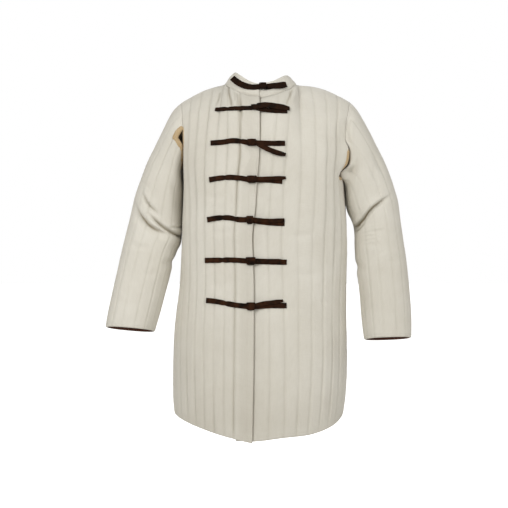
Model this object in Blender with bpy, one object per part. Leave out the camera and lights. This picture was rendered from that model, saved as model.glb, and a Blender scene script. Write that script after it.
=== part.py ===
# Gambeson: a quilted, padded coat held open in its worn form.
# Pieces: two fronts, one back, two sleeves, a stand collar, four armpit bindings
# and seven pairs of leather ties. Metres, +Z up, the front faces -Y.
# The wearer's right is -X. The origin is the middle of the neck opening.
import math

import bpy
import numpy as np

# ---------------------------------------------------------------- cloth
QUILT_RISE = 0.0045          # a puff stands this far above its stitched line
WALL = 0.0045                # cloth left at a stitched line
SEAM_GAP = 0.0003            # air between two sewn pieces
COLLAR_EASE = 0.0007         # more air at the collar, where the neckline turns a corner
SLEEVE_EASE = 0.0005         # more air where a sleeve meets the body
LAP_DROP = 0.0100            # the under front sits this far behind the upper one
UNDERLAP = 0.045             # width of the under front behind the upper one
COLLAR_RISE = 0.0022         # padding of the collar above its edges

# ---------------------------------------------------------------- quilting
PUFF_STEPS = (0.0, 0.28, 0.72)      # places across one channel, as a share of it
NECK_CHANNELS = 4            # front channels that end at the collar
BACK_NECK_CHANNELS = 3       # back channels that end at the collar, each side
SHOULDER_CHANNELS = 4        # channels that end at the shoulder seam
SIDE_CHANNELS = 3            # channels that end at the lower armhole
ARMHOLE_CHANNELS = 4         # sleeve channels along the upright front of the armhole
UPPER_ROWS = 12              # rows of points from the shoulder to the armhole corner
LOWER_ROWS = 11              # rows of points from there to the hem

# Share of a channel's width among its panel, first at the chest, then at the hem.
FRONT_RIGHT_WIDTHS = {
    "chest": (20, 34, 33, 32, 31, 31, 30, 28, 22, 22, 23),
    "hem": (17, 36, 27, 28, 28, 28, 28, 28, 29, 29, 29),
}
FRONT_LEFT_WIDTHS = {
    "chest": (34, 31, 42, 38, 33, 31, 29, 22, 22, 23),
    "hem": (42, 40, 34, 32, 32, 30, 29, 28, 28, 28),
}
BACK_WIDTHS = {
    "chest": (34, 34, 34, 33, 33, 33, 33, 22, 22, 23),
    "hem": (30, 30, 30, 30, 30, 30, 30, 30, 30, 30),
}

# ---------------------------------------------------------------- torso
# height, right half width, left half width, front depth, back depth, roundness
TORSO_LEVELS = (
    (-0.130, 0.2140, 0.2290, 0.1390, 0.1200, 2.90),
    (-0.200, 0.2135, 0.2280, 0.1490, 0.1260, 2.85),
    (-0.290, 0.2090, 0.2310, 0.1530, 0.1240, 2.70),
    (-0.344, 0.2110, 0.2340, 0.1500, 0.1190, 2.60),
    (-0.454, 0.2145, 0.2380, 0.1440, 0.1150, 2.50),
    (-0.564, 0.2218, 0.2365, 0.1450, 0.1220, 2.40),
    (-0.650, 0.2322, 0.2358, 0.1500, 0.1320, 2.30),
    (-0.718, 0.2370, 0.2390, 0.1530, 0.1380, 2.25),
    (-0.784, 0.2382, 0.2390, 0.1540, 0.1400, 2.20),
    (-0.872, 0.2380, 0.2330, 0.1530, 0.1400, 2.20),
    (-0.960, 0.2330, 0.2220, 0.1500, 0.1380, 2.20),
)
# height, sideways place of the upper front's free edge
OPENING = (
    (-0.030, -0.0015),
    (-0.130, -0.0015),
    (-0.210, -0.0050),
    (-0.290, -0.0110),
    (-0.350, -0.0140),
    (-0.420, -0.0210),
    (-0.500, -0.0180),
    (-0.700, -0.0170),
    (-0.960, -0.0210),
)
# depth of the middle of the front and of the back above the chest: height, depth
FRONT_PROFILE = ((-0.044, 0.0850), (-0.070, 0.1080), (-0.100, 0.1250),
                 (-0.135, 0.1380), (-0.170, 0.1455), (-0.200, 0.1490))
BACK_PROFILE = ((0.004, 0.0740), (-0.030, 0.0960), (-0.070, 0.1100),
                (-0.110, 0.1180), (-0.165, 0.1240), (-0.200, 0.1260))
# hem height: share of the way from the middle to the side seam, height
HEM = {
    ("right", "front"): ((0.0, -0.958), (0.25, -0.942), (0.50, -0.9235), (0.75, -0.906),
                         (0.90, -0.8985), (1.0, -0.896)),
    ("left", "front"): ((0.0, -0.955), (0.25, -0.945), (0.50, -0.939), (0.72, -0.923),
                        (0.88, -0.906), (1.0, -0.896)),
    ("right", "back"): ((0.0, -0.945), (0.40, -0.936), (0.75, -0.912), (1.0, -0.896)),
    ("left", "back"): ((0.0, -0.945), (0.40, -0.936), (0.75, -0.912), (1.0, -0.896)),
}

# ---------------------------------------------------------------- neck
NECK = {"front": -0.085, "back": 0.074, "front_z": -0.044, "back_z": 0.004}
NECK_SIDE = {"right": (-0.0980, 0.0010), "left": (0.1010, 0.0000)}
COLLAR_TOP = {"front": -0.071, "back": 0.066, "front_z": -0.006, "back_z": 0.024}
COLLAR_TOP_SIDE = {"right": (-0.0725, 0.0350), "left": (0.0780, 0.0275)}
RIM_DIP = {"seam": 1.7, "rim": 2.5}     # how narrow the dip in front is, at the seam and the rim
SHOULDER_ROUND = {"right": 0.0085, "left": 0.0125}
COLLAR_ROWS = 4
COLLAR_LAP = 0.012           # the left end reaches this far behind the right end

# ---------------------------------------------------------------- armholes
# place round the armhole counted in sleeve channels, sideways, depth, height
ARMHOLE = {
    "right": (
        (0.0, -0.2170, 0.000, -0.0505),
        (1.3, -0.2120, -0.044, -0.0700),
        (2.7, -0.2080, -0.074, -0.1130),
        (4.0, -0.2060, -0.078, -0.1650),
        (5.5, -0.2080, -0.046, -0.2080),
        (7.0, -0.2130, 0.000, -0.2200),
        (8.5, -0.2080, 0.048, -0.2060),
        (10.0, -0.2050, 0.078, -0.1600),
        (11.3, -0.2060, 0.072, -0.1050),
        (12.7, -0.2110, 0.042, -0.0660),
    ),
    "left": (
        (0.0, 0.2450, 0.000, -0.0465),
        (1.3, 0.2400, -0.044, -0.0720),
        (2.7, 0.2290, -0.076, -0.1200),
        (4.0, 0.2340, -0.074, -0.1850),
        (5.4, 0.2240, -0.056, -0.2340),
        (7.0, 0.2260, 0.000, -0.2560),
        (8.5, 0.2260, 0.050, -0.2280),
        (10.0, 0.2260, 0.076, -0.1700),
        (11.3, 0.2300, 0.072, -0.1080),
        (12.7, 0.2380, 0.042, -0.0660),
    ),
}
# how far the sleeve's free edge stands off the armhole: place, sideways, depth, height
SLIT = {
    "right": ((3.0, 0.000, 0.000, 0.000), (3.6, -0.017, 0.000, -0.004), (4.2, -0.018, 0.004, -0.012),
              (4.9, -0.010, 0.004, -0.016), (5.8, -0.008, 0.000, -0.018), (7.0, -0.009, 0.000, -0.018),
              (8.4, -0.009, 0.000, -0.016), (9.6, -0.010, -0.003, -0.010), (10.6, 0.000, 0.000, 0.000)),
    "left": ((3.0, 0.000, 0.000, 0.000), (3.7, 0.011, 0.018, -0.004), (4.4, 0.013, 0.020, -0.012),
             (5.2, 0.013, 0.012, -0.016), (6.0, 0.010, 0.002, -0.018), (7.0, 0.010, 0.000, -0.018),
             (8.4, 0.010, 0.000, -0.016), (9.6, 0.010, -0.003, -0.010), (10.6, 0.000, 0.000, 0.000)),
}
BINDING_FROM = 3.4
BINDING_TO = 10.2
BINDING_SIZE = {"across": 0.0038, "along": 0.0026}
BINDING_GAP = 0.0012

# ---------------------------------------------------------------- sleeves
# outer x, outer z, inner x, inner z, middle depth, half depth, forward tilt of the ring
SLEEVE_RINGS = {
    "right": (
        (-0.2170, -0.0505, -0.2220, -0.2380, 0.000, 0.082, 0.00),
        (-0.2420, -0.0780, -0.2180, -0.2560, 0.001, 0.086, 0.00),
        (-0.2665, -0.1240, -0.2140, -0.2740, 0.002, 0.086, 0.00),
        (-0.2880, -0.1680, -0.2112, -0.2940, 0.003, 0.084, 0.00),
        (-0.3095, -0.2120, -0.2112, -0.3160, 0.003, 0.081, 0.00),
        (-0.3265, -0.2560, -0.2124, -0.3420, 0.002, 0.078, 0.00),
        (-0.3395, -0.2920, -0.2132, -0.3680, 0.001, 0.076, 0.00),
        (-0.3480, -0.3220, -0.2140, -0.3910, 0.000, 0.074, 0.02),
        (-0.3540, -0.3500, -0.2148, -0.4090, -0.002, 0.073, 0.04),
        (-0.3590, -0.3760, -0.2156, -0.4240, -0.005, 0.073, 0.07),
        (-0.3650, -0.4040, -0.2190, -0.4390, -0.008, 0.072, 0.11),
        (-0.3710, -0.4340, -0.2290, -0.4580, -0.013, 0.071, 0.15),
        (-0.3785, -0.4700, -0.2380, -0.4840, -0.020, 0.069, 0.19),
        (-0.3880, -0.5140, -0.2455, -0.5220, -0.029, 0.067, 0.22),
        (-0.3985, -0.5620, -0.2562, -0.5680, -0.040, 0.064, 0.24),
        (-0.4075, -0.6100, -0.2680, -0.6180, -0.050, 0.062, 0.25),
        (-0.4160, -0.6570, -0.2830, -0.6690, -0.058, 0.060, 0.24),
    ),
    "left": (
        (0.2450, -0.0465, 0.2340, -0.2740, 0.000, 0.082, 0.00),
        (0.2680, -0.0730, 0.2330, -0.2860, 0.001, 0.086, 0.00),
        (0.2970, -0.1240, 0.2335, -0.3000, 0.002, 0.086, 0.00),
        (0.3190, -0.1680, 0.2345, -0.3160, 0.003, 0.084, 0.00),
        (0.3410, -0.2120, 0.2365, -0.3330, 0.003, 0.081, 0.00),
        (0.3585, -0.2560, 0.2420, -0.3520, 0.002, 0.078, 0.00),
        (0.3695, -0.2900, 0.2505, -0.3700, 0.001, 0.076, 0.00),
        (0.3780, -0.3200, 0.2565, -0.3860, 0.000, 0.074, 0.02),
        (0.3820, -0.3480, 0.2590, -0.4010, -0.002, 0.073, 0.04),
        (0.3850, -0.3760, 0.2600, -0.4170, -0.005, 0.073, 0.07),
        (0.3890, -0.4060, 0.2600, -0.4360, -0.008, 0.072, 0.11),
        (0.3930, -0.4380, 0.2610, -0.4600, -0.013, 0.071, 0.15),
        (0.3980, -0.4760, 0.2635, -0.4910, -0.020, 0.069, 0.19),
        (0.4015, -0.5220, 0.2665, -0.5310, -0.029, 0.067, 0.22),
        (0.4045, -0.5720, 0.2700, -0.5790, -0.040, 0.064, 0.24),
        (0.4070, -0.6280, 0.2735, -0.6330, -0.050, 0.062, 0.25),
        (0.4060, -0.6860, 0.2800, -0.6900, -0.060, 0.059, 0.24),
    ),
}
SLEEVE_ROUNDNESS = 2.25
# elbow folds on the front of a sleeve: points (x, z) along the fold, its depth and its width
ELBOW_FOLDS = {
    "right": (
        {"line": ((-0.338, -0.312), (-0.308, -0.376), (-0.272, -0.402), (-0.217, -0.416)),
         "depth": 0.011, "width": 0.011},
        {"line": ((-0.306, -0.290), (-0.294, -0.350), (-0.258, -0.382), (-0.217, -0.398)),
         "depth": 0.006, "width": 0.009},
    ),
    "left": (
        {"line": ((0.355, -0.298), (0.327, -0.326), (0.298, -0.346), (0.274, -0.372), (0.257, -0.386)),
         "depth": 0.013, "width": 0.011},
        {"line": ((0.297, -0.356), (0.283, -0.376), (0.260, -0.402)),
         "depth": 0.007, "width": 0.009},
    ),
}

# ---------------------------------------------------------------- ties
TIE_WIDTH = 0.0140
TAIL_WIDTH = 0.0105
TIE_THICKNESS = 0.0022
TIE_CLEARANCE = 0.0006
KNOT_THICK = 0.0070
KNOT_LIFT = 0.0010
KNOT_GAP = 0.0008
# straps as lines of places (x, z): from each sewn end toward the knot; the tail to its tip
TIES = (
    {"right": ((-0.0711, 0.0094), (-0.0568, -0.0051), (-0.0392, -0.0150), (-0.0218, -0.0191)),
     "knot": (0.0065, -0.0179), "size": (0.0165, 0.0215), "stand": 0.000,
     "left": ((0.0424, -0.0143), (0.0705, -0.0089)),
     "tail": ((0.0423, -0.0189), (0.0673, -0.0157))},
    {"right": ((-0.1201, -0.0814), (-0.0852, -0.0819), (-0.0534, -0.0817)),
     "knot": (-0.0152, -0.0810), "size": (0.0190, 0.0170), "stand": 0.004,
     "left": ((0.0255, -0.0883), (0.0704, -0.0890)),
     "tail": ((0.0099, -0.0710), (0.0309, -0.0733), (0.0547, -0.0775), (0.0764, -0.0812))},
    {"right": ((-0.1304, -0.1737), (-0.1002, -0.1725), (-0.0739, -0.1695), (-0.0556, -0.1701)),
     "knot": (-0.0227, -0.1750), "size": (0.0230, 0.0180), "stand": 0.002,
     "left": ((0.0251, -0.1773), (0.0643, -0.1767)),
     "tail": ((0.0095, -0.1881), (0.0303, -0.1977), (0.0486, -0.2037), (0.0650, -0.2069))},
    {"right": ((-0.1335, -0.2707), (-0.1078, -0.2672), (-0.0816, -0.2655), (-0.0581, -0.2668)),
     "knot": (-0.0212, -0.2713), "size": (0.0260, 0.0205), "stand": 0.002,
     "left": ((0.0251, -0.2733), (0.0571, -0.2762)),
     "tail": ((0.0251, -0.2691), (0.0657, -0.2668))},
    {"right": ((-0.1391, -0.3754), (-0.1105, -0.3710), (-0.0816, -0.3707), (-0.0581, -0.3751)),
     "knot": (-0.0274, -0.3762), "size": (0.0185, 0.0230), "stand": 0.002,
     "left": ((0.0147, -0.3829), (0.0407, -0.3849), (0.0631, -0.3854)),
     "tail": ((0.0147, -0.3782), (0.0407, -0.3782), (0.0626, -0.3755))},
    {"right": ((-0.1452, -0.4818), (-0.1106, -0.4812), (-0.0738, -0.4806)),
     "knot": (-0.0248, -0.4832), "size": (0.0250, 0.0225), "stand": 0.002,
     "left": ((0.0251, -0.4853), (0.0689, -0.4864)),
     "tail": ((0.0251, -0.4832), (0.0632, -0.4830))},
    {"right": ((-0.1419, -0.5867), (-0.1158, -0.5888), (-0.0895, -0.5937), (-0.0633, -0.5982)),
     "knot": (-0.0248, -0.6012), "size": (0.0225, 0.0225), "stand": 0.002,
     "left": ((0.0199, -0.5996), (0.0683, -0.5993)),
     "tail": ((0.0095, -0.5934), (0.0329, -0.5908), (0.0584, -0.5867))},
)

CANVAS = {"color": (0.68, 0.63, 0.54, 1.0), "rough": 0.92}
LEATHER = {"color": (0.035, 0.017, 0.010, 1.0), "rough": 0.75}
BINDING = {"color": (0.55, 0.42, 0.25, 1.0), "rough": 0.88}

SIDE_SIGN = {"right": -1.0, "left": 1.0}


def unit(vectors):
    length = np.linalg.norm(vectors, axis=-1, keepdims=True)
    return vectors / np.maximum(length, 1e-12)


def curve(table, at, period=None):
    # Smooth line through a table whose first column is the place along it.
    rows = np.array(table, float)
    if period:
        rows = np.vstack([rows[-2:], rows, rows[:2]])
        rows[:2, 0] -= period
        rows[-2:, 0] += period
    keys = rows[:, 0]
    values = rows[:, 1:]
    if keys[0] > keys[-1]:
        keys = keys[::-1]
        values = values[::-1]
    slopes = np.gradient(values, keys, axis=0)
    at = np.clip(np.asarray(at, float), keys[0], keys[-1])
    place = np.clip(np.searchsorted(keys, at, side="right") - 1, 0, len(keys) - 2)
    span = keys[place + 1] - keys[place]
    share = (at - keys[place]) / span
    share = share[..., None]
    span = span[..., None]
    square = share * share
    cube = square * share
    result = (2 * cube - 3 * square + 1) * values[place]
    result = result + (cube - 2 * square + share) * span * slopes[place]
    result = result + (3 * square - 2 * cube) * values[place + 1]
    result = result + (cube - square) * span * slopes[place + 1]
    return result


def smooth_step(low, high, value):
    share = np.clip((value - low) / (high - low), 0.0, 1.0)
    return share * share * (3 - 2 * share)


def opening_x(height):
    return float(curve(OPENING, height)[0])


def torso_size(side, face, height):
    row = curve(TORSO_LEVELS, height)
    half = row[0] if side == "right" else row[1]
    depth = row[2] if face == "front" else row[3]
    return half, depth, row[4]


def section_point(side, face, height, start, share):
    # A place on one quarter of the torso's outline, by its share of the way from
    # `start` (a sideways distance from the middle) to the side seam.
    half, depth, power = torso_size(side, face, height)
    angle = np.linspace(0.0, math.pi / 2, 120)
    across = half * np.sin(angle) ** (2 / power)
    out = depth * np.cos(angle) ** (2 / power)
    arc = np.concatenate([[0.0], np.cumsum(np.hypot(np.diff(across), np.diff(out)))])
    place = start + share * (arc[-1] - start)
    if place < 0:
        x = place
        y = depth * (1 - abs(x / half) ** power) ** (1 / power)
    else:
        x = np.interp(place, arc, across)
        y = np.interp(place, arc, out)
    sign_y = -1.0 if face == "front" else 1.0
    return np.array([SIDE_SIGN[side] * x, sign_y * y, height])


def channel_places(count_or_widths):
    # Shares of the whole width for every column of points.
    widths = np.array(count_or_widths, float)
    edges = np.concatenate([[0.0], np.cumsum(widths)]) / widths.sum()
    places = []
    for index in range(len(widths)):
        for step in PUFF_STEPS:
            places.append(edges[index] + step * (edges[index + 1] - edges[index]))
    places.append(1.0)
    return np.array(places)


def neck_point(side, face, share, ring=None):
    # Neckline: share 0 is the middle of the front or back, 1 is the neck's side.
    base = ring or NECK
    side_x, side_z = (COLLAR_TOP_SIDE if ring else NECK_SIDE)[side]
    turn = share * math.pi / 2
    middle_y = base[face]
    middle_z = base[face + "_z"]
    lift = math.cos(turn) ** RIM_DIP["rim" if ring else "seam"] if turn < math.pi / 2 - 1e-9 else 0.0
    return np.array([side_x * math.sin(turn), middle_y * math.cos(turn),
                     side_z + (middle_z - side_z) * lift])


def shoulder_point(side, share):
    # Shoulder seam from the neck's side to the tip, slightly rounded upward.
    start = neck_point(side, "front", 1.0)
    end = np.array(ARMHOLE[side][0][1:])
    point = start + (end - start) * share
    point[2] = point[2] + SHOULDER_ROUND[side] * math.sin(math.pi * share)
    return point


def armhole_places():
    total = 2 * (ARMHOLE_CHANNELS + SIDE_CHANNELS)
    places = []
    for index in range(total):
        for step in PUFF_STEPS:
            places.append(index + step)
    return np.array(places)


def armhole_points(side):
    total = 2 * (ARMHOLE_CHANNELS + SIDE_CHANNELS)
    return curve(ARMHOLE[side], armhole_places(), period=total)


def panel_half(side, face, widths, neck_channels, underlap):
    # One half of the body as a grid [row, column, xyz] from the middle to the side
    # seam. Above the armhole's corner it ends at the armhole, below it at the side.
    chest = channel_places(widths["chest"])
    hem = channel_places(widths["hem"])
    columns = len(chest)
    side_columns = 3 * SIDE_CHANNELS
    corner = columns - 1 - side_columns
    rows = UPPER_ROWS + LOWER_ROWS + 1
    grid = np.full((rows, columns, 3), np.nan)

    ring = armhole_points(side)
    half_ring = 3 * (ARMHOLE_CHANNELS + SIDE_CHANNELS)
    if face == "front":
        edge = ring[:half_ring + 1]
    else:
        edge = np.vstack([ring[half_ring:], ring[:1]])[::-1]
    corner_height = edge[UPPER_ROWS][2]

    def start_of(height):
        if face == "back":
            return 0.0
        free = SIDE_SIGN[side] * opening_x(height)
        return free - underlap

    # below the corner: sections of the torso
    reach = np.arange(LOWER_ROWS + 1) / LOWER_ROWS
    reach = reach * (0.80 + 0.20 * reach)
    top_height = np.full(columns, corner_height)
    top_height[corner:] = edge[UPPER_ROWS:, 2]
    for row in range(LOWER_ROWS + 1):
        for column in range(columns):
            share = chest[column] + (hem[column] - chest[column]) * reach[row]
            bottom = float(curve(HEM[(side, face)], share)[0])
            height = top_height[column] + (bottom - top_height[column]) * reach[row]
            grid[UPPER_ROWS + row, column] = section_point(
                side, face, height, start_of(height), share)
    # the armhole's own line pulls the rows under it
    pull = np.zeros((columns, 3))
    pull[corner:] = edge[UPPER_ROWS:] - grid[UPPER_ROWS, corner:]
    for step in range(1, 10):
        pull[corner - step] = pull[corner] * (1 - smooth_step(0.0, 10.0, float(step)))
    for row in range(LOWER_ROWS + 1):
        fade = 1 - smooth_step(0.0, 2.6, float(row))
        grid[UPPER_ROWS + row] = grid[UPPER_ROWS + row] + pull * fade

    # above the corner: the patch between the neckline, shoulder, armhole and middle
    top = np.zeros((corner + 1, 3))
    neck_columns = 3 * neck_channels
    neck_widths = widths["chest"][:neck_channels]
    neck_share = channel_places(neck_widths)
    top_start = start_of(NECK["front_z"] if face == "front" else 0.0)
    for column in range(neck_columns + 1):
        first = top_start / 0.150
        share = first + (1 - first) * neck_share[column]
        if share >= 0:
            top[column] = neck_point(side, face, share)
        else:
            top[column] = neck_point(side, face, -share)
            top[column][0] = -top[column][0]
    shoulder_share = channel_places((1,) * SHOULDER_CHANNELS)
    for column in range(3 * SHOULDER_CHANNELS + 1):
        top[neck_columns + column] = shoulder_point(side, shoulder_share[column])
    profile = FRONT_PROFILE if face == "front" else BACK_PROFILE
    left = np.zeros((UPPER_ROWS + 1, 3))
    drop = np.linspace(0.0, 1.0, UPPER_ROWS + 1)
    for row in range(UPPER_ROWS + 1):
        height = top[0][2] + (corner_height - top[0][2]) * drop[row]
        middle = float(curve(profile, height)[0])
        x = SIDE_SIGN[side] * start_of(height)
        sign_y = -1.0 if face == "front" else 1.0
        left[row] = (x, sign_y * middle, height)
    left[0] = top[0]
    left[-1] = grid[UPPER_ROWS, 0]
    right = edge[:UPPER_ROWS + 1]
    bottom = grid[UPPER_ROWS, :corner + 1]
    u = chest[:corner + 1] / chest[corner]
    v = drop
    for row in range(UPPER_ROWS + 1):
        ruled = (1 - v[row]) * top + v[row] * bottom
        across = (1 - u)[:, None] * left[row] + u[:, None] * right[row]
        flat = (1 - v[row]) * ((1 - u)[:, None] * top[0] + u[:, None] * top[-1])
        flat = flat + v[row] * ((1 - u)[:, None] * bottom[0] + u[:, None] * bottom[-1])
        grid[row, :corner + 1] = ruled + across - flat

    # even out the patch where it meets the sections below it
    for _ in range(30):
        inner = grid[1:-1, 1:-1]
        mean = 0.25 * (grid[:-2, 1:-1] + grid[2:, 1:-1] + grid[1:-1, :-2] + grid[1:-1, 2:])
        row_index = np.arange(1, rows - 1)[:, None]
        strength = 0.5 * np.clip(1 - np.abs(row_index - UPPER_ROWS) / 5.0, 0.0, 1.0)
        allowed = np.isfinite(mean[..., 0]) & np.isfinite(inner[..., 0])
        allowed[:UPPER_ROWS, corner - 1] = False
        allowed[UPPER_ROWS - 1, corner - 1:] = False
        moved = inner + (mean - inner) * strength[..., None]
        moved[..., 0] = inner[..., 0]
        inner[allowed] = moved[allowed]
    exists = np.ones((rows - 1, columns - 1), bool)
    exists[:UPPER_ROWS, corner:] = False
    return {"grid": grid, "cells": exists, "corner": corner}


def grid_normals(grid, cells, wrap=False):
    # Outward directions, averaged over the cells that meet at each point.
    rows, columns = grid.shape[:2]
    total = np.zeros_like(grid)
    for row in range(rows - 1):
        for column in range(cells.shape[1]):
            if not cells[row, column]:
                continue
            other = (column + 1) % columns if wrap else column + 1
            a = grid[row, column]
            b = grid[row, other]
            c = grid[row + 1, other]
            d = grid[row + 1, column]
            face = np.cross(c - a, d - b)
            for place in ((row, column), (row, other), (row + 1, other), (row + 1, column)):
                total[place] += face
    return unit(total)


def shift_edge(grid, normals, path, inside, distance):
    # Moves the points of one border into the piece, square to the border.
    points = np.array([grid[place] for place in path])
    along = np.gradient(points, axis=0)
    for index, place in enumerate(path):
        square = np.cross(along[index], normals[place])
        square = square / max(np.linalg.norm(square), 1e-12)
        toward = grid[inside[index]] - grid[place]
        if np.dot(square, toward) < 0:
            square = -square
        grid[place] = grid[place] + square * distance


def share_normals(pieces):
    # Pieces sewn together get one wall direction along their seam.
    for group in pieces:
        total = np.zeros(3)
        for normals, place in group:
            total = total + normals[place]
        total = total / max(np.linalg.norm(total), 1e-12)
        for normals, place in group:
            normals[place] = total


def quilt_relief(rows, columns, rise, soft_top, soft_bottom):
    # Height of the cloth above its stitched lines.
    across = np.zeros(columns)
    for column in range(columns):
        across[column] = 0.0 if column % 3 == 0 else rise
    along = np.ones(rows)
    along[0] = soft_top
    along[-1] = soft_bottom
    return across[None, :] * along[:, None]


def new_material(name, look):
    material = bpy.data.materials.new(name)
    material.use_nodes = True
    shader = material.node_tree.nodes["Principled BSDF"]
    shader.inputs["Base Color"].default_value = look["color"]
    shader.inputs["Roughness"].default_value = look["rough"]
    shader.inputs["Metallic"].default_value = 0.0
    material.diffuse_color = look["color"]
    return material


def signed_volume(points, faces):
    total = 0.0
    for face in faces:
        for index in range(1, len(face) - 1):
            a = points[face[0]]
            b = points[face[index]]
            c = points[face[index + 1]]
            total += np.dot(a, np.cross(b, c))
    return total / 6.0


def add_solid(name, points, faces, look):
    points = np.array(points, float)
    if signed_volume(points, faces) < 0:
        faces = [tuple(reversed(face)) for face in faces]
    mesh = bpy.data.meshes.new(name)
    mesh.from_pydata([tuple(point) for point in points], [], [tuple(face) for face in faces])
    mesh.update()
    thing = bpy.data.objects.new(name, mesh)
    mesh.materials.append(new_material(name + "_look", look))
    COLLECTION.objects.link(thing)
    return thing


def quilted_wall(name, grid, normals, relief, cells, look, wrap=False, wall=None, rise=None):
    # A cloth wall: raised channels outside, one plain facet per channel inside.
    wall = WALL if wall is None else wall
    rise = QUILT_RISE if rise is None else rise
    rows, columns = grid.shape[:2]
    outer = grid + normals * (relief - rise)[..., None]
    inner = grid - normals * (rise + wall)
    points = []
    outer_id = {}
    inner_id = {}

    def outer_point(row, column):
        column = column % columns if wrap else column
        if (row, column) not in outer_id:
            outer_id[(row, column)] = len(points)
            points.append(outer[row, column])
        return outer_id[(row, column)]

    def inner_point(row, column):
        column = column % columns if wrap else column
        if (row, column) not in inner_id:
            inner_id[(row, column)] = len(points)
            points.append(inner[row, column])
        return inner_id[(row, column)]

    def has_cell(row, column):
        if row < 0 or row >= cells.shape[0]:
            return False
        if wrap:
            return bool(cells[row, column % cells.shape[1]])
        if column < 0 or column >= cells.shape[1]:
            return False
        return bool(cells[row, column])

    faces = []
    for row in range(cells.shape[0]):
        for column in range(cells.shape[1]):
            if has_cell(row, column):
                faces.append((outer_point(row, column), outer_point(row, column + 1),
                              outer_point(row + 1, column + 1), outer_point(row + 1, column)))
        for column in range(0, cells.shape[1], 3):
            if not has_cell(row, column):
                continue
            last = column + 3
            upper_open = not has_cell(row - 1, column)
            lower_open = not has_cell(row + 1, column)
            t = [inner_point(row, column), inner_point(row, last)]
            b = [inner_point(row + 1, column), inner_point(row + 1, last)]
            if upper_open:
                t = [inner_point(row, column + step) for step in range(4)]
                o = [outer_point(row, column + step) for step in range(4)]
                faces += [(o[k + 1], o[k], t[k], t[k + 1]) for k in range(3)]
            if lower_open:
                b = [inner_point(row + 1, column + step) for step in range(4)]
                o = [outer_point(row + 1, column + step) for step in range(4)]
                faces += [(b[k + 1], b[k], o[k], o[k + 1]) for k in range(3)]
            if len(t) == len(b):
                faces += [(t[k], b[k], b[k + 1], t[k + 1]) for k in range(len(t) - 1)]
            elif len(t) == 4:
                faces += [(t[0], b[0], t[1]), (t[1], b[0], b[1]), (t[1], b[1], t[2]),
                          (t[2], b[1], t[3])]
            else:
                faces += [(t[0], b[0], b[1]), (t[0], b[1], b[2]), (t[0], b[2], t[1]),
                          (t[1], b[2], b[3])]
            if not has_cell(row, column - 1):
                faces.append((outer_point(row, column), outer_point(row + 1, column),
                              inner_point(row + 1, column), inner_point(row, column)))
            if not has_cell(row, last):
                faces.append((outer_point(row + 1, last), outer_point(row, last),
                              inner_point(row, last), inner_point(row + 1, last)))
    return add_solid(name, points, faces, look)


def lap_amount(beyond):
    # 1 behind the upper front's free edge, falling to 0 a few centimetres past it.
    return 1 - smooth_step(0.003, 0.036, beyond)


def sleeve_grid(side):
    # Rings of points from the armhole to the cuff, each in its own slanted plane.
    total = 2 * (ARMHOLE_CHANNELS + SIDE_CHANNELS)
    places = armhole_places()
    rings = np.array(SLEEVE_RINGS[side])
    offsets = np.zeros((len(places), 3))
    slit = SLIT[side]
    inside = (places > slit[0][0]) & (places < slit[-1][0])
    offsets[inside] = curve(slit, places[inside])
    edge = armhole_points(side) + offsets
    turn = places / total * 2 * math.pi
    power = 2 / SLEEVE_ROUNDNESS
    up = np.sign(np.cos(turn)) * np.abs(np.cos(turn)) ** power
    forward = np.sign(np.sin(turn)) * np.abs(np.sin(turn)) ** power
    grid = np.zeros((len(rings), len(places), 3))
    for index, row in enumerate(rings):
        outer_x, outer_z, inner_x, inner_z, middle, half, tilt = row
        grid[index, :, 0] = (outer_x + inner_x) / 2 + up * (outer_x - inner_x) / 2
        grid[index, :, 1] = middle - forward * half
        grid[index, :, 2] = (outer_z + inner_z) / 2 + up * (outer_z - inner_z) / 2
        grid[index, :, 2] += tilt * forward * half
    difference = edge - grid[0]
    for index, weight in enumerate((1.0, 0.62, 0.28, 0.08)):
        grid[index] = grid[index] + difference * weight
    return grid


def fold_depth(points, middle, folds):
    # How far the cloth sinks at each point because of the elbow folds.
    depth = np.zeros(points.shape[:2])
    for fold in folds:
        line = np.array(fold["line"])
        nearest = np.full(points.shape[:2], 1e9)
        place = np.zeros(points.shape[:2])
        flat = points[..., (0, 2)]
        for index in range(len(line) - 1):
            start = line[index]
            step = line[index + 1] - start
            share = ((flat - start) @ step) / (step @ step)
            share = np.clip(share, 0.0, 1.0)
            gap = np.linalg.norm(flat - start - share[..., None] * step, axis=-1)
            closer = gap < nearest
            nearest = np.where(closer, gap, nearest)
            place = np.where(closer, (index + share) / (len(line) - 1), place)
        front = smooth_step(-0.010, 0.030, middle - points[..., 1])
        taper = 0.45 + 0.55 * np.sin(np.pi * np.clip(place * 0.75 + 0.25, 0, 1)) ** 0.8
        trough = np.exp(-(nearest / fold["width"]) ** 2)
        ridge = 0.42 * np.exp(-((nearest - 1.9 * fold["width"]) / fold["width"]) ** 2)
        depth = depth + fold["depth"] * taper * front * (trough - ridge)
    return depth


def ribbon(name, centre, across, out, width, thickness, look):
    # A flat strap: a rectangle of cloth swept along a line of points.
    centre = np.array(centre)
    across = unit(np.array(across))
    out = unit(np.array(out))
    points = []
    for index in range(len(centre)):
        side = across[index] * width / 2
        rise = out[index] * thickness
        points += [centre[index] - side, centre[index] + side,
                   centre[index] + side + rise, centre[index] - side + rise]
    faces = []
    for index in range(len(centre) - 1):
        a = 4 * index
        for corner in range(4):
            following = (corner + 1) % 4
            faces.append((a + corner, a + following, a + 4 + following, a + 4 + corner))
    last = 4 * (len(centre) - 1)
    faces.append((3, 2, 1, 0))
    faces.append((last, last + 1, last + 2, last + 3))
    return add_solid(name, points, faces, look)


def evened(vectors, rounds):
    # Directions along a line, evened out so that they turn gently.
    result = np.array(vectors)
    for _ in range(rounds):
        inner = 0.25 * result[:-2] + 0.5 * result[1:-1] + 0.25 * result[2:]
        result = np.vstack([result[:1], inner, result[-1:]])
    return unit(result)


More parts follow.
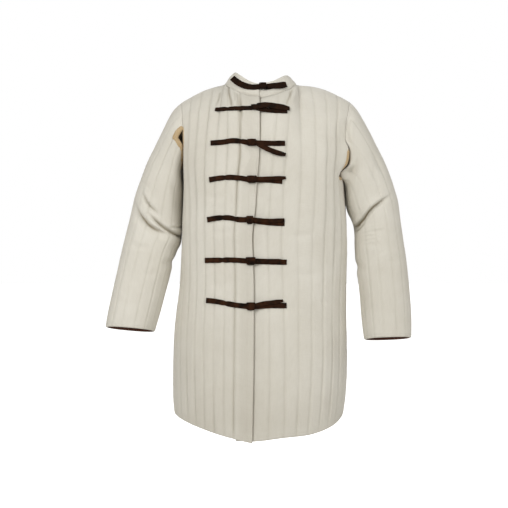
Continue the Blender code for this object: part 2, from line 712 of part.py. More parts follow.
def bead(name, path, across, along, look):
    # A rounded bound edge: a flattened six-sided tube along a line of points.
    path = np.array(path)
    tangent = unit(np.gradient(path, axis=0))
    wide = unit(np.array(across))
    wide = unit(wide - tangent * np.sum(wide * tangent, axis=1)[:, None])
    tall = unit(np.cross(tangent, wide))
    points = []
    sides = 6
    for index in range(len(path)):
        for corner in range(sides):
            turn = 2 * math.pi * (corner + 0.5) / sides
            points.append(path[index] + wide[index] * along["across"] * math.cos(turn)
                          + tall[index] * along["along"] * math.sin(turn))
    faces = []
    for index in range(len(path) - 1):
        a = sides * index
        for corner in range(sides):
            following = (corner + 1) % sides
            faces.append((a + corner, a + following, a + sides + following, a + sides + corner))
    last = sides * (len(path) - 1)
    faces.append(tuple(range(sides - 1, -1, -1)))
    faces.append(tuple(last + corner for corner in range(sides)))
    return add_solid(name, points, faces, look)


def surface_y(grids, x, z):
    # Foremost depth of the given surfaces under a place seen from the front.
    best = 1e9
    for grid in grids:
        a = grid[:-1, :-1].reshape(-1, 3)
        b = grid[:-1, 1:].reshape(-1, 3)
        c = grid[1:, 1:].reshape(-1, 3)
        d = grid[1:, :-1].reshape(-1, 3)
        for one, two, three in ((a, b, c), (a, c, d)):
            e1 = two - one
            e2 = three - one
            det = e1[:, 0] * e2[:, 2] - e1[:, 2] * e2[:, 0]
            with np.errstate(all="ignore"):
                u = ((x - one[:, 0]) * e2[:, 2] - (z - one[:, 2]) * e2[:, 0]) / det
                v = (e1[:, 0] * (z - one[:, 2]) - e1[:, 2] * (x - one[:, 0])) / det
                hit = (u >= -0.001) & (v >= -0.001) & (u + v <= 1.001)
            if np.any(hit):
                y = one[hit, 1] + u[hit] * e1[hit, 1] + v[hit] * e2[hit, 1]
                best = min(best, float(np.min(y)))
    return best


# ------------------------------------------------------------------ build
for old in list(bpy.data.objects):
    bpy.data.objects.remove(old, do_unlink=True)
COLLECTION = bpy.data.collections.new("gambeson")
bpy.context.scene.collection.children.link(COLLECTION)

half_gap = SEAM_GAP / 2
body_rows = UPPER_ROWS + LOWER_ROWS + 1
front_right = panel_half("right", "front", FRONT_RIGHT_WIDTHS, NECK_CHANNELS, 0.0)
front_left = panel_half("left", "front", FRONT_LEFT_WIDTHS, 3, 0.0)
back_right = panel_half("right", "back", BACK_WIDTHS, BACK_NECK_CHANNELS, 0.0)
back_left = panel_half("left", "back", BACK_WIDTHS, BACK_NECK_CHANNELS, 0.0)

# the under front: its own grid with one more channel behind the upper front
left_grid = front_left["grid"]
extra = np.zeros((body_rows, 3, 3))
for row in range(body_rows):
    free = left_grid[row, 0]
    for column, share in enumerate(PUFF_STEPS):
        back_off = UNDERLAP * (1 - share)
        x = free[0] - back_off
        y = surface_y([front_right["grid"]], x - 1e-4, free[2])
        if y > 1.0:
            half, depth, power = torso_size("right", "front", free[2])
            y = -depth * (1 - abs(x / half) ** power) ** (1 / power)
        fall = 0.02 * back_off if row else 0.0
        extra[row, column] = (x, y, free[2] + fall)
under_grid = np.concatenate([extra, left_grid], axis=1)
under_cells = np.concatenate([np.ones((body_rows - 1, 3), bool), front_left["cells"]], axis=1)
under_corner = front_left["corner"] + 3
whole_left = under_grid.copy()
lap_normal = grid_normals(under_grid, under_cells)
if np.nansum(lap_normal[..., 1]) > 0:
    lap_normal = -lap_normal
for row in range(body_rows):
    for column in range(under_grid.shape[1]):
        point = under_grid[row, column]
        if np.isfinite(point[0]):
            amount = lap_amount(point[0] - opening_x(point[2]))
            under_grid[row, column] = point - lap_normal[row, column] * LAP_DROP * amount

# the back: both halves in one grid from the right side seam to the left one
back_grid = np.concatenate([back_right["grid"][:, ::-1], back_left["grid"][:, 1:]], axis=1)
back_cells = np.concatenate([back_right["cells"][:, ::-1], back_left["cells"]], axis=1)
right_grid = front_right["grid"]

panels = {
    "front_right": {"grid": right_grid, "cells": front_right["cells"]},
    "front_left": {"grid": under_grid, "cells": under_cells},
    "back": {"grid": back_grid, "cells": back_cells},
}
for panel in panels.values():
    panel["normal"] = grid_normals(panel["grid"], panel["cells"])
sleeves = {}
for side in ("right", "left"):
    grid = sleeve_grid(side)
    cells = np.ones((grid.shape[0] - 1, grid.shape[1]), bool)
    middles = np.array(SLEEVE_RINGS[side])[:, 4][:, None]
    normal = grid_normals(grid, cells, wrap=True)
    sleeves[side] = {"grid": grid, "cells": cells, "middle": middles, "normal": normal}

# outward means away from the body's axis or from the sleeve's own axis
for panel in panels.values():
    grid = panel["grid"]
    facing = np.nansum(panel["normal"] * (grid - np.array([0, 0, 0])) * (1, 1, 0))
    if facing < 0:
        panel["normal"] = -panel["normal"]
for sleeve in sleeves.values():
    centre = sleeve["grid"].mean(axis=1, keepdims=True)
    if np.sum(sleeve["normal"] * (sleeve["grid"] - centre)) < 0:
        sleeve["normal"] = -sleeve["normal"]

right_n = panels["front_right"]["normal"]
left_n = panels["front_left"]["normal"]
back_n = panels["back"]["normal"]
right_columns = right_grid.shape[1]
left_columns = under_grid.shape[1]
back_columns = back_grid.shape[1]
back_middle = back_right["grid"].shape[1] - 1
right_corner = front_right["corner"]
back_corner = back_right["corner"]
right_neck = 3 * NECK_CHANNELS
left_neck = 3 * 4
back_neck = 3 * BACK_NECK_CHANNELS

# the collar: the neckline's points of all three panels, from the right end to the left end
collar_points = []
for column in range(0, right_neck + 1):
    collar_points.append((right_grid[0, column].copy(), "right", "front",
                          (right_n, (0, column))))
for column in range(back_neck - 1, -1, -1):
    collar_points.append((back_grid[0, back_middle - column].copy(), "right", "back",
                          (back_n, (0, back_middle - column))))
for column in range(1, back_neck + 1):
    collar_points.append((back_grid[0, back_middle + column].copy(), "left", "back",
                          (back_n, (0, back_middle + column))))
for column in range(left_neck - 1, 2, -1):
    collar_points.append((left_grid[0, column - 3].copy(), "left", "front",
                          (left_n, (0, column))))
bottom = np.array([entry[0] for entry in collar_points])
top = np.zeros_like(bottom)
for index, entry in enumerate(collar_points):
    point, side, face = entry[:3]
    side_x = NECK_SIDE[side][0]
    share = min(abs(point[0]) / abs(side_x), 1.0)
    share = math.asin(share) * 2 / math.pi
    top[index] = neck_point(side, face, share, COLLAR_TOP)
    if point[0] * SIDE_SIGN[side] < 0:
        top[index][0] = -top[index][0]
top[0][0] = bottom[0][0]
top[-1][0] = bottom[-1][0]
levels = np.linspace(0.0, 1.0, COLLAR_ROWS + 1)[:, None, None]
collar = bottom[None] * (1 - levels) + top[None] * levels
bow = 0.0025 * np.sin(np.pi * levels)
centre = collar.mean(axis=1, keepdims=True)
outward = unit((collar - centre) * (1, 1, 0))
collar = collar + outward * bow
collar_cells = np.ones((COLLAR_ROWS, collar.shape[1] - 1), bool)
collar_n = grid_normals(collar, collar_cells)
if np.sum(collar_n * outward) < 0:
    collar_n = -collar_n
collar_base = collar.copy()
last_neck = collar.shape[1]
for step in range(10):
    column = last_neck - 1 - step
    panel_drop = under_grid[0, 3 + step] - whole_left[0, 3 + step]
    amount = lap_amount(bottom[column][0] - opening_x(-0.03))
    for row in range(collar.shape[0]):
        level = row / COLLAR_ROWS
        drop = panel_drop * (1 - level) + np.array([0, LAP_DROP * amount, 0]) * level
        collar[row, column] = collar[row, column] + drop
for row in range(1, collar.shape[0]):
    for column, share in ((-1, 1.0), (-2, 0.55), (-3, 0.2)):
        collar[row, column, 0] -= COLLAR_LAP * share

# one wall direction along every seam
groups = []
for row in range(UPPER_ROWS, body_rows):
    groups.append([(right_n, (row, right_columns - 1)), (back_n, (row, 0))])
    groups.append([(left_n, (row, left_columns - 1)), (back_n, (row, back_columns - 1))])
for step in range(3 * SHOULDER_CHANNELS + 1):
    groups.append([(right_n, (0, right_neck + step)),
                   (back_n, (0, back_middle - back_neck - step))])
    groups.append([(left_n, (0, left_neck + step)),
                   (back_n, (0, back_middle + back_neck + step))])
share_normals(groups)
share_normals([[(collar_n, (0, index)), entry[3]] for index, entry in enumerate(collar_points)])


def armhole_path(side, face):
    # Places in a panel's grid along its armhole, from the shoulder tip to the side seam.
    if face == "front":
        corner = right_corner if side == "right" else under_corner
        last = (right_columns if side == "right" else left_columns) - 1
        path = [(row, corner) for row in range(UPPER_ROWS + 1)]
        path += [(UPPER_ROWS, column) for column in range(corner + 1, last + 1)]
        inside = [(row, corner - 1) for row in range(UPPER_ROWS)]
        inside += [(UPPER_ROWS + 1, corner - 1)]
        inside += [(UPPER_ROWS + 1, column) for column in range(corner + 1, last + 1)]
        return path, inside
    sign = -1 if side == "right" else 1
    corner = back_middle + sign * back_corner
    last = 0 if side == "right" else back_columns - 1
    path = [(row, corner) for row in range(UPPER_ROWS + 1)]
    path += [(UPPER_ROWS, column) for column in range(corner + sign, last + sign, sign)]
    inside = [(row, corner - sign) for row in range(UPPER_ROWS)]
    inside += [(UPPER_ROWS + 1, corner - sign)]
    inside += [(UPPER_ROWS + 1, column) for column in range(corner + sign, last + sign, sign)]
    return path, inside


ring_count = len(armhole_places())
half_count = ring_count // 2
for side in ("right", "left"):
    sleeve_n = sleeves[side]["normal"]
    front_n = right_n if side == "right" else left_n
    front_path = armhole_path(side, "front")[0]
    back_path = armhole_path(side, "back")[0]
    groups = []
    for index in range(ring_count):
        place = armhole_places()[index]
        sewn = place <= SLIT[side][0][0] + 0.01 or place >= SLIT[side][-1][0] - 0.01
        group = []
        if index <= half_count:
            group.append((front_n, front_path[index]))
        if index == 0 or index >= half_count:
            group.append((back_n, back_path[(ring_count - index) % ring_count]))
        if sewn:
            group.append((sleeve_n, (0, index)))
        groups.append(group)
    share_normals(groups)

# seam gaps: every sewn border steps back by half of the gap
edges = []
side_rows = list(range(UPPER_ROWS, body_rows))
edges.append((right_grid, right_n, [(r, right_columns - 1) for r in side_rows],
              [(r, right_columns - 2) for r in side_rows]))
edges.append((under_grid, left_n, [(r, left_columns - 1) for r in side_rows],
              [(r, left_columns - 2) for r in side_rows]))
edges.append((back_grid, back_n, [(r, 0) for r in side_rows], [(r, 1) for r in side_rows]))
edges.append((back_grid, back_n, [(r, back_columns - 1) for r in side_rows],
              [(r, back_columns - 2) for r in side_rows]))
edges.append((right_grid, right_n, [(0, c) for c in range(right_corner + 1)],
              [(1, c) for c in range(right_corner + 1)]))
edges.append((under_grid, left_n, [(0, c) for c in range(under_corner + 1)],
              [(1, c) for c in range(under_corner + 1)]))
low = back_middle - back_corner
high = back_middle + back_corner
edges.append((back_grid, back_n, [(0, c) for c in range(low, high + 1)],
              [(1, c) for c in range(low, high + 1)]))
edges.append((collar, collar_n, [(0, c) for c in range(collar.shape[1])],
              [(1, c) for c in range(collar.shape[1])]))
wide_seams = {id(collar): COLLAR_EASE}
for side in ("right", "left"):
    front_grid = right_grid if side == "right" else under_grid
    front_n = right_n if side == "right" else left_n
    path, inside = armhole_path(side, "front")
    edges.append((front_grid, front_n, path, inside))
    path, inside = armhole_path(side, "back")
    edges.append((back_grid, back_n, path, inside))
    sleeve = sleeves[side]
    ring = list(range(ring_count))
    edges.append((sleeve["grid"], sleeve["normal"], [(0, c) for c in ring],
                  [(1, c) for c in ring]))
    wide_seams[id(sleeve["grid"])] = SLEEVE_EASE
armhole_edges = {side: armhole_points(side) for side in ("right", "left")}
sleeve_edges = {side: sleeves[side]["grid"][0].copy() for side in ("right", "left")}
for grid, normal, path, inside in edges:
    shift_edge(grid, normal, path, inside, half_gap + wide_seams.get(id(grid), 0.0))

# elbow folds sink the whole wall
for side, sleeve in sleeves.items():
    depth = fold_depth(sleeve["grid"], sleeve["middle"], ELBOW_FOLDS[side])
    sleeve["grid"] = sleeve["grid"] - sleeve["normal"] * depth[..., None]

for name, panel in panels.items():
    rows, columns = panel["grid"].shape[:2]
    relief = quilt_relief(rows, columns, QUILT_RISE, 0.0, 0.55)
    for side, face in (("right", "front"), ("left", "front"), ("right", "back"), ("left", "back")):
        owner = {"front_right": ("right", "front"), "front_left": ("left", "front")}
        if name == "back" and face == "back" or owner.get(name) == (side, face):
            for place in armhole_path(side, face)[0]:
                relief[place] = 0.0
    quilted_wall(name, panel["grid"], panel["normal"], relief, panel["cells"], CANVAS)

for side, sleeve in sleeves.items():
    rows, columns = sleeve["grid"].shape[:2]
    relief = quilt_relief(rows, columns, QUILT_RISE, 0.0, 0.45)
    quilted_wall("sleeve_" + side, sleeve["grid"], sleeve["normal"], relief, sleeve["cells"],
                 CANVAS, wrap=True)

collar_relief = np.full(collar.shape[:2], COLLAR_RISE)
collar_relief[0] = 0.0
collar_relief[-1] = 0.0009
collar_relief[:, 0] = 0.0
collar_relief[:, -1] = 0.0
quilted_wall("collar", collar, collar_n, collar_relief, collar_cells, CANVAS,
             rise=QUILT_RISE, wall=WALL)

# bound edges of the open armpits
for side in ("right", "left"):
    places = armhole_places()
    chosen = np.where((places >= BINDING_FROM) & (places <= BINDING_TO))[0]
    sleeve = sleeves[side]
    depth = QUILT_RISE + WALL / 2
    front_grid = right_grid if side == "right" else under_grid
    front_n = right_n if side == "right" else left_n
    front_path, front_in = armhole_path(side, "front")
    back_path, back_in = armhole_path(side, "back")
    path = []
    across = []
    for index in chosen:
        if index <= half_count:
            place = front_path[index]
            inner = front_in[index]
            grid, normal = front_grid, front_n
        else:
            place = back_path[ring_count - index]
            inner = back_in[ring_count - index]
            grid, normal = back_grid, back_n
        path.append((grid[place] - normal[place] * depth, normal[place], grid[inner] - grid[place]))
    points = np.array([entry[0] for entry in path])
    walls = np.array([entry[1] for entry in path])
    inward = np.array([entry[2] for entry in path])
    tangent = unit(np.gradient(points, axis=0))
    square = unit(np.cross(tangent, walls))
    square = square * np.sign(np.sum(square * inward, axis=1))[:, None]
    square = evened(square, 2)
    walls = evened(walls, 2)
    bead("armhole_binding_" + side, points - square * (BINDING_SIZE["along"] + BINDING_GAP),
         walls, BINDING_SIZE, BINDING)
    points = sleeve["grid"][0, chosen] - sleeve["normal"][0, chosen] * depth
    walls = sleeve["normal"][0, chosen]
    inward = sleeve["grid"][1, chosen] - sleeve["grid"][0, chosen]
    tangent = unit(np.gradient(points, axis=0))
    square = unit(np.cross(tangent, walls))
    square = square * np.sign(np.sum(square * inward, axis=1))[:, None]
    square = evened(square, 2)
    walls = evened(walls, 2)
    bead("sleeve_binding_" + side, points - square * (BINDING_SIZE["along"] + BINDING_GAP),
         walls, BINDING_SIZE, BINDING)

# ties: straps laid over the puffs, a knot beside the opening and a loose tail
front_surfaces = [np.nan_to_num(right_grid, nan=9.0), np.nan_to_num(whole_left, nan=9.0)]
# the collar's surface carried on a little above its rim and below its seam
above = collar_base[-1:] + (collar_base[-1:] - collar_base[-2:-1]) * 1.6
below = collar_base[:1] - (collar_base[1:2] - collar_base[:1]) * 0.8
tall_collar = np.concatenate([below, collar_base, above], axis=0)
collar_surfaces = [tall_collar[:, :right_neck + 6], tall_collar[:, -16:]]


def tie_line(surfaces, places, count, lift, first_lift=0.0):
    # Points on the coat along a line of (x, z) places seen from the front, lifted off it.
    places = np.array(places)
    along = np.concatenate([[0.0], np.cumsum(np.linalg.norm(np.diff(places, axis=0), axis=1))])
    along = along / along[-1]
    line = curve(np.column_stack([along, places]), np.linspace(0.0, 1.0, count))
    centre = []
    out = []
    across = []
    half = TIE_WIDTH / 2
    for index, (x, z) in enumerate(line):
        heights = [surface_y(surfaces, x, z + step * half) for step in (-1, 0, 1)]
        near = [surface_y(surfaces, x + step, z) for step in (-0.006, 0.006)]
        slope_z = (heights[2] - heights[0]) / TIE_WIDTH
        slope_x = (near[1] - near[0]) / 0.012
        normal = unit(np.array([slope_x, -1.0, slope_z]))
        y = min(heights[1], (heights[0] + heights[2]) / 2)
        extra = first_lift * (1 - index / (count - 1))
        centre.append(np.array([x, y, z]) + normal * (lift + extra))
        out.append(normal)
        across.append(np.array([0.0, slope_z, 1.0]))
    return centre, across, out


def knot_solid(name, middle, side_way, upward, normal, size):
    # A flattened barrel of wrapped strap with a waist between its turns.
    points = []
    faces = []
    outline = 10
    profile = ((0.0, 0.84), (0.2, 1.0), (0.5, 0.95), (0.8, 1.0), (1.0, 0.84))
    for share, width in profile:
        for corner in range(outline):
            turn = 2 * math.pi * (corner + 0.5) / outline
            a = math.copysign(abs(math.cos(turn)) ** 0.6, math.cos(turn))
            b = math.copysign(abs(math.sin(turn)) ** 0.6, math.sin(turn))
            points.append(middle + side_way * (share - 0.5) * size[0]
                          + upward * a * size[1] / 2 * width
                          + normal * (b * width + 1.0) * KNOT_THICK / 2)
    for index in range(len(profile) - 1):
        a = outline * index
        for corner in range(outline):
            following = (corner + 1) % outline
            faces.append((a + corner, a + following, a + outline + following,
                          a + outline + corner))
    last = outline * (len(profile) - 1)
    faces.append(tuple(range(outline - 1, -1, -1)))
    faces.append(tuple(last + corner for corner in range(outline)))
    add_solid(name, points, faces, LEATHER)


for number, tie in enumerate(TIES, start=1):
    surfaces = collar_surfaces if number == 1 else front_surfaces
    tag = "tie_" + str(number)
    knot = np.array(tie["knot"])
    reach = tie["size"][0] / 2
    line = list(tie["right"]) + [(knot[0] - reach - KNOT_GAP, knot[1])]
    centre, across, out = tie_line(surfaces, line, 9, TIE_CLEARANCE)
    ribbon(tag + "_right", centre, across, out, TIE_WIDTH, TIE_THICKNESS, LEATHER)
    line = [(knot[0] + reach + KNOT_GAP, knot[1] - 0.0010)] + list(tie["left"])
    centre, across, out = tie_line(surfaces, line, 6, TIE_CLEARANCE)
    ribbon(tag + "_left", centre, across, out, TIE_WIDTH, TIE_THICKNESS, LEATHER)
    line = [(knot[0] + reach + 2 * KNOT_GAP, knot[1] + 0.0010)] + list(tie["tail"])
    lift = TIE_CLEARANCE + TIE_THICKNESS + 0.0007
    centre, across, out = tie_line(surfaces, line, 7, lift, tie["stand"])
    ribbon(tag + "_tail", centre, across, out, TAIL_WIDTH, TIE_THICKNESS, LEATHER)
    line = [(knot[0] - reach, knot[1]), (knot[0], knot[1]), (knot[0] + reach, knot[1])]
    centre, across, out = tie_line(surfaces, line, 3, KNOT_LIFT)
    normal = unit(np.array(out[0]) + np.array(out[1]) + np.array(out[2]))
    foremost = max(np.dot(point, normal) for point in centre)
    middle = np.array(centre[1])
    middle = middle + normal * (foremost - np.dot(middle, normal))
    side_way = np.array(centre[2]) - np.array(centre[0])
    side_way = unit(side_way - normal * np.dot(side_way, normal))
    upward = unit(np.cross(side_way, normal))
    knot_solid(tag + "_knot", middle, side_way, upward, normal, tie["size"])
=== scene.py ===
# Gambeson: quilted cotton coat with suede ties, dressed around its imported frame.
# Metres, +Z up, the coat's front faces -Y, its right side is at -X. Tables marked so are in mm.
import bpy
import numpy as np
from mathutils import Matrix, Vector


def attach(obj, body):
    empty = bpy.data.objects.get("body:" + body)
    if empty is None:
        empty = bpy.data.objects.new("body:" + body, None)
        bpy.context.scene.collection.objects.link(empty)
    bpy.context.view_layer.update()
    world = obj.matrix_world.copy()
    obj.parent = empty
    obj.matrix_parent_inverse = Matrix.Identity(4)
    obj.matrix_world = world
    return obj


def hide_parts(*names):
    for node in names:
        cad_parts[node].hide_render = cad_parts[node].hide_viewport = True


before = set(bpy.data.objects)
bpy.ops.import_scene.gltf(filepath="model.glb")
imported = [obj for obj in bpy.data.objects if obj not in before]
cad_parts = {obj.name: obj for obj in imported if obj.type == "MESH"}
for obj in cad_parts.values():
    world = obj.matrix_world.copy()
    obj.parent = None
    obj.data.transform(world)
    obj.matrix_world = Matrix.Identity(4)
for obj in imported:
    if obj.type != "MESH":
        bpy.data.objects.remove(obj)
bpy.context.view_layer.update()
sideSign = {"right": -1.0, "left": 1.0}
white = (1.0, 1.0, 1.0, 1.0)

studio = {
    "eye": (-0.0165, -2.7, -0.465),     # the camera looks level along +Y
    "focalPixels": 981.8,               # for a frame 508 pixels wide
    "framePixels": 508,
    "sensor": 36.0,                     # mm
    "floor": -1.45,                     # where a wearer would stand
    "ambient": 0.42,
    "lights": (                         # place, aim, size in m, watts
        ((-2.0, -2.7, 0.7), (0.0, 0.0, -0.45), 1.5, 61.0),
        ((2.5, -2.5, 0.5), (0.0, 0.0, -0.45), 1.8, 49.0),
        ((0.0, -1.5, 2.7), (0.0, 0.0, -0.3), 1.8, 12.0),
        ((0.0, 3.0, 1.0), (0.0, 0.0, -0.45), 2.2, 66.0),
    ),
}


def hexColor(text):
    # sRGB hex to linear: c / 12.92 below 0.04045, otherwise ((c + 0.055) / 1.055) ^ 2.4.
    value = np.array([int(text[i:i + 2], 16) for i in (1, 3, 5)]) / 255
    linear = np.where(value < 0.04045, value / 12.92, ((value + 0.055) / 1.055) ** 2.4)
    return (*linear.tolist(), 1.0)


def addNode(tree, kind, settings=None, links=None):
    # One node with its settings (properties, or sockets by name or number) and its links.
    node = tree.nodes.new("ShaderNode" + kind)
    for key, value in (settings or {}).items():
        if isinstance(key, int) or key in node.inputs:
            node.inputs[key].default_value = value
        else:
            setattr(node, key, value)
    for key, source in (links or {}).items():
        tree.links.new(source, node.inputs[key])
    return node


def aimAt(thing, place, target):
    # Puts a lamp or camera at a place with its -Z axis toward the target.
    thing.location = place
    thing.rotation_euler = (Vector(target) - Vector(place)).to_track_quat("-Z", "Y").to_euler()


def makeStudio():
    scene = bpy.context.scene
    scene.view_settings.view_transform = "Standard"
    camera = bpy.data.objects.new("camera", bpy.data.cameras.new("camera"))
    scene.collection.objects.link(camera)
    camera.data.sensor_width = studio["sensor"]
    camera.data.lens = studio["focalPixels"] / studio["framePixels"] * studio["sensor"]
    camera.data.dof.use_dof = False
    eye = studio["eye"]
    aimAt(camera, eye, (eye[0], 0.0, eye[2]))
    scene.camera = camera
    for number, (place, target, size, power) in enumerate(studio["lights"]):
        lamp = bpy.data.lights.new("softbox" + str(number), "AREA")
        lamp.shape = "SQUARE"
        lamp.size = size
        lamp.energy = power
        thing = bpy.data.objects.new(lamp.name, lamp)
        scene.collection.objects.link(thing)
        aimAt(thing, place, target)
    world = bpy.data.worlds.new("paleStudio")
    scene.world = world
    world.use_nodes = True
    tree = world.node_tree
    tree.nodes.clear()
    path = addNode(tree, "LightPath")
    dim, seen = (addNode(tree, "Background", {"Color": white, "Strength": strength})
                 for strength in (studio["ambient"], 1.0))
    both = addNode(tree, "MixShader", None,
                   {0: path.outputs["Is Camera Ray"], 1: dim.outputs[0], 2: seen.outputs[0]})
    addNode(tree, "OutputWorld", None, {"Surface": both.outputs[0]})
    bpy.ops.mesh.primitive_circle_add(vertices=96, radius=30, fill_type="NGON",
                                      location=(0, 0, studio["floor"]))
    floor = bpy.context.object
    floor.name = "paleFloor"
    paint, tree, shader = newMaterial("mattWhitePaint", {
        "Base Color": hexColor("#c9c7c3"), "Roughness": 0.95, "Emission Color": white})
    path = addNode(tree, "LightPath")
    tree.links.new(path.outputs["Is Camera Ray"], shader.inputs["Emission Strength"])
    floor.data.materials.append(paint)
    print("studio made")


# numbers shared by every cloth piece, in metres
quilting = {
    "rise": 0.0045,                     # a puff above its stitched line
    "wall": 0.0045,                     # cloth left at a stitched line
    "steps": (0.0, 0.28, 0.72, 1.0),    # places across a channel that the frame's solids use
    "upperRows": 12, "lowerRows": 11,   # rows of the body above and below the armhole's corner
    "neckChannels": {"right": 4, "left": 3}, "backNeckChannels": 3, "shoulderChannels": 4,
    "sideChannels": 3, "armholeChannels": 4,
    "puff": {"body": 0.0023, "sleeve": 0.0012},   # how far the fine puffs stand over their lines
    "flush": 0.75, "flushArmhole": 0.45,    # share of a puff's height along a sewn seam
    "underlap": 0.045, "underlapFall": 0.02, "lapDrop": 0.0064,
    "perStep": 3, "sleeveStep": 5,      # fine columns in one coarse step
    "upperFine": 3, "lowerFine": 14,    # fine rows in one coarse row
    "calm": 0.012,                      # the puffs start this far from a seam
    "bareFrom": 9,                      # coarse row from which the armhole's edge is free
    "hemSoftness": 0.55, "hemStitch": 0.01,
    "sinkInside": 0.7,                  # share of a crease that the lining follows
    "rim": 0.003,                       # radius of a turned edge
}
ringChannels = 2 * (quilting["armholeChannels"] + quilting["sideChannels"])
channelWidths = {                       # mm at the chest and shares at the hem
    ("right", "front"): {"chest": (20, 34, 33, 32, 31, 31, 30, 28, 22, 22, 23),
                         "hem": (17, 36, 27, 28, 28, 28, 28, 28, 29, 29, 29)},
    ("left", "front"): {"chest": (34, 31, 42, 38, 33, 31, 29, 22, 22, 23),
                        "hem": (42, 40, 34, 32, 32, 30, 29, 28, 28, 28)},
    "back": {"chest": (34, 34, 34, 33, 33, 33, 33, 22, 22, 23),
             "hem": (30, 30, 30, 30, 30, 30, 30, 30, 30, 30)},
}
torsoForm = {
    # height, right half width, left half width, front depth, back depth, roundness
    "levels": (
        (-0.13, 0.214, 0.229, 0.139, 0.12, 2.9),
        (-0.2, 0.2135, 0.228, 0.149, 0.126, 2.85),
        (-0.29, 0.209, 0.231, 0.153, 0.124, 2.7),
        (-0.344, 0.211, 0.234, 0.15, 0.119, 2.6),
        (-0.454, 0.2145, 0.238, 0.144, 0.115, 2.5),
        (-0.564, 0.2218, 0.2365, 0.145, 0.122, 2.4),
        (-0.65, 0.2322, 0.2358, 0.15, 0.132, 2.3),
        (-0.718, 0.237, 0.239, 0.153, 0.138, 2.25),
        (-0.784, 0.2382, 0.239, 0.154, 0.14, 2.2),
        (-0.872, 0.238, 0.233, 0.153, 0.14, 2.2),
        (-0.96, 0.233, 0.222, 0.15, 0.138, 2.2),
    ),
    # height, sideways place of the upper front's free edge
    "opening": ((-0.03, -0.0015), (-0.13, -0.0015), (-0.21, -0.005), (-0.29, -0.011),
                (-0.35, -0.014), (-0.42, -0.021), (-0.5, -0.018), (-0.7, -0.017),
                (-0.96, -0.021)),
    # height, depth of the middle above the chest
    "profile": {
        "front": ((-0.044, 0.085), (-0.07, 0.108), (-0.1, 0.125),
                  (-0.135, 0.138), (-0.17, 0.1455), (-0.2, 0.149)),
        "back": ((0.004, 0.074), (-0.03, 0.096), (-0.07, 0.11),
                 (-0.11, 0.118), (-0.165, 0.124), (-0.2, 0.126)),
    },
    # share of the way from the middle to the side seam, height of the hem
    "hem": {
        ("right", "front"): ((0.0, -0.958), (0.25, -0.942), (0.5, -0.9235), (0.75, -0.906),
                             (0.9, -0.8985), (1.0, -0.896)),
        ("left", "front"): ((0.0, -0.955), (0.25, -0.945), (0.5, -0.939), (0.72, -0.923),
                            (0.88, -0.906), (1.0, -0.896)),
        "back": ((0.0, -0.945), (0.4, -0.936), (0.75, -0.912), (1.0, -0.896)),
    },
    "shoulderRound": {"right": 0.0085, "left": 0.0125},
    "rowSpacing": 0.2,                  # how much the rows crowd toward the armhole
    "pull": (10.0, 2.6),                # columns and rows over which the armhole draws the cloth
    "evening": (30, 0.5, 5.0),          # rounds, strength and rows of the smoothing at its corner
}
neckForm = {
    "seam": {"front": (-0.085, -0.044), "back": (0.074, 0.004), "dip": 1.7,
             "side": {"right": (-0.098, 0.001), "left": (0.101, 0.0)}},
    "rim": {"front": (-0.071, -0.006), "back": (0.066, 0.0165), "dip": 2.5,
            "side": {"right": (-0.0725, 0.035), "left": (0.078, 0.0275)}},
    "shareLength": 0.15,
}
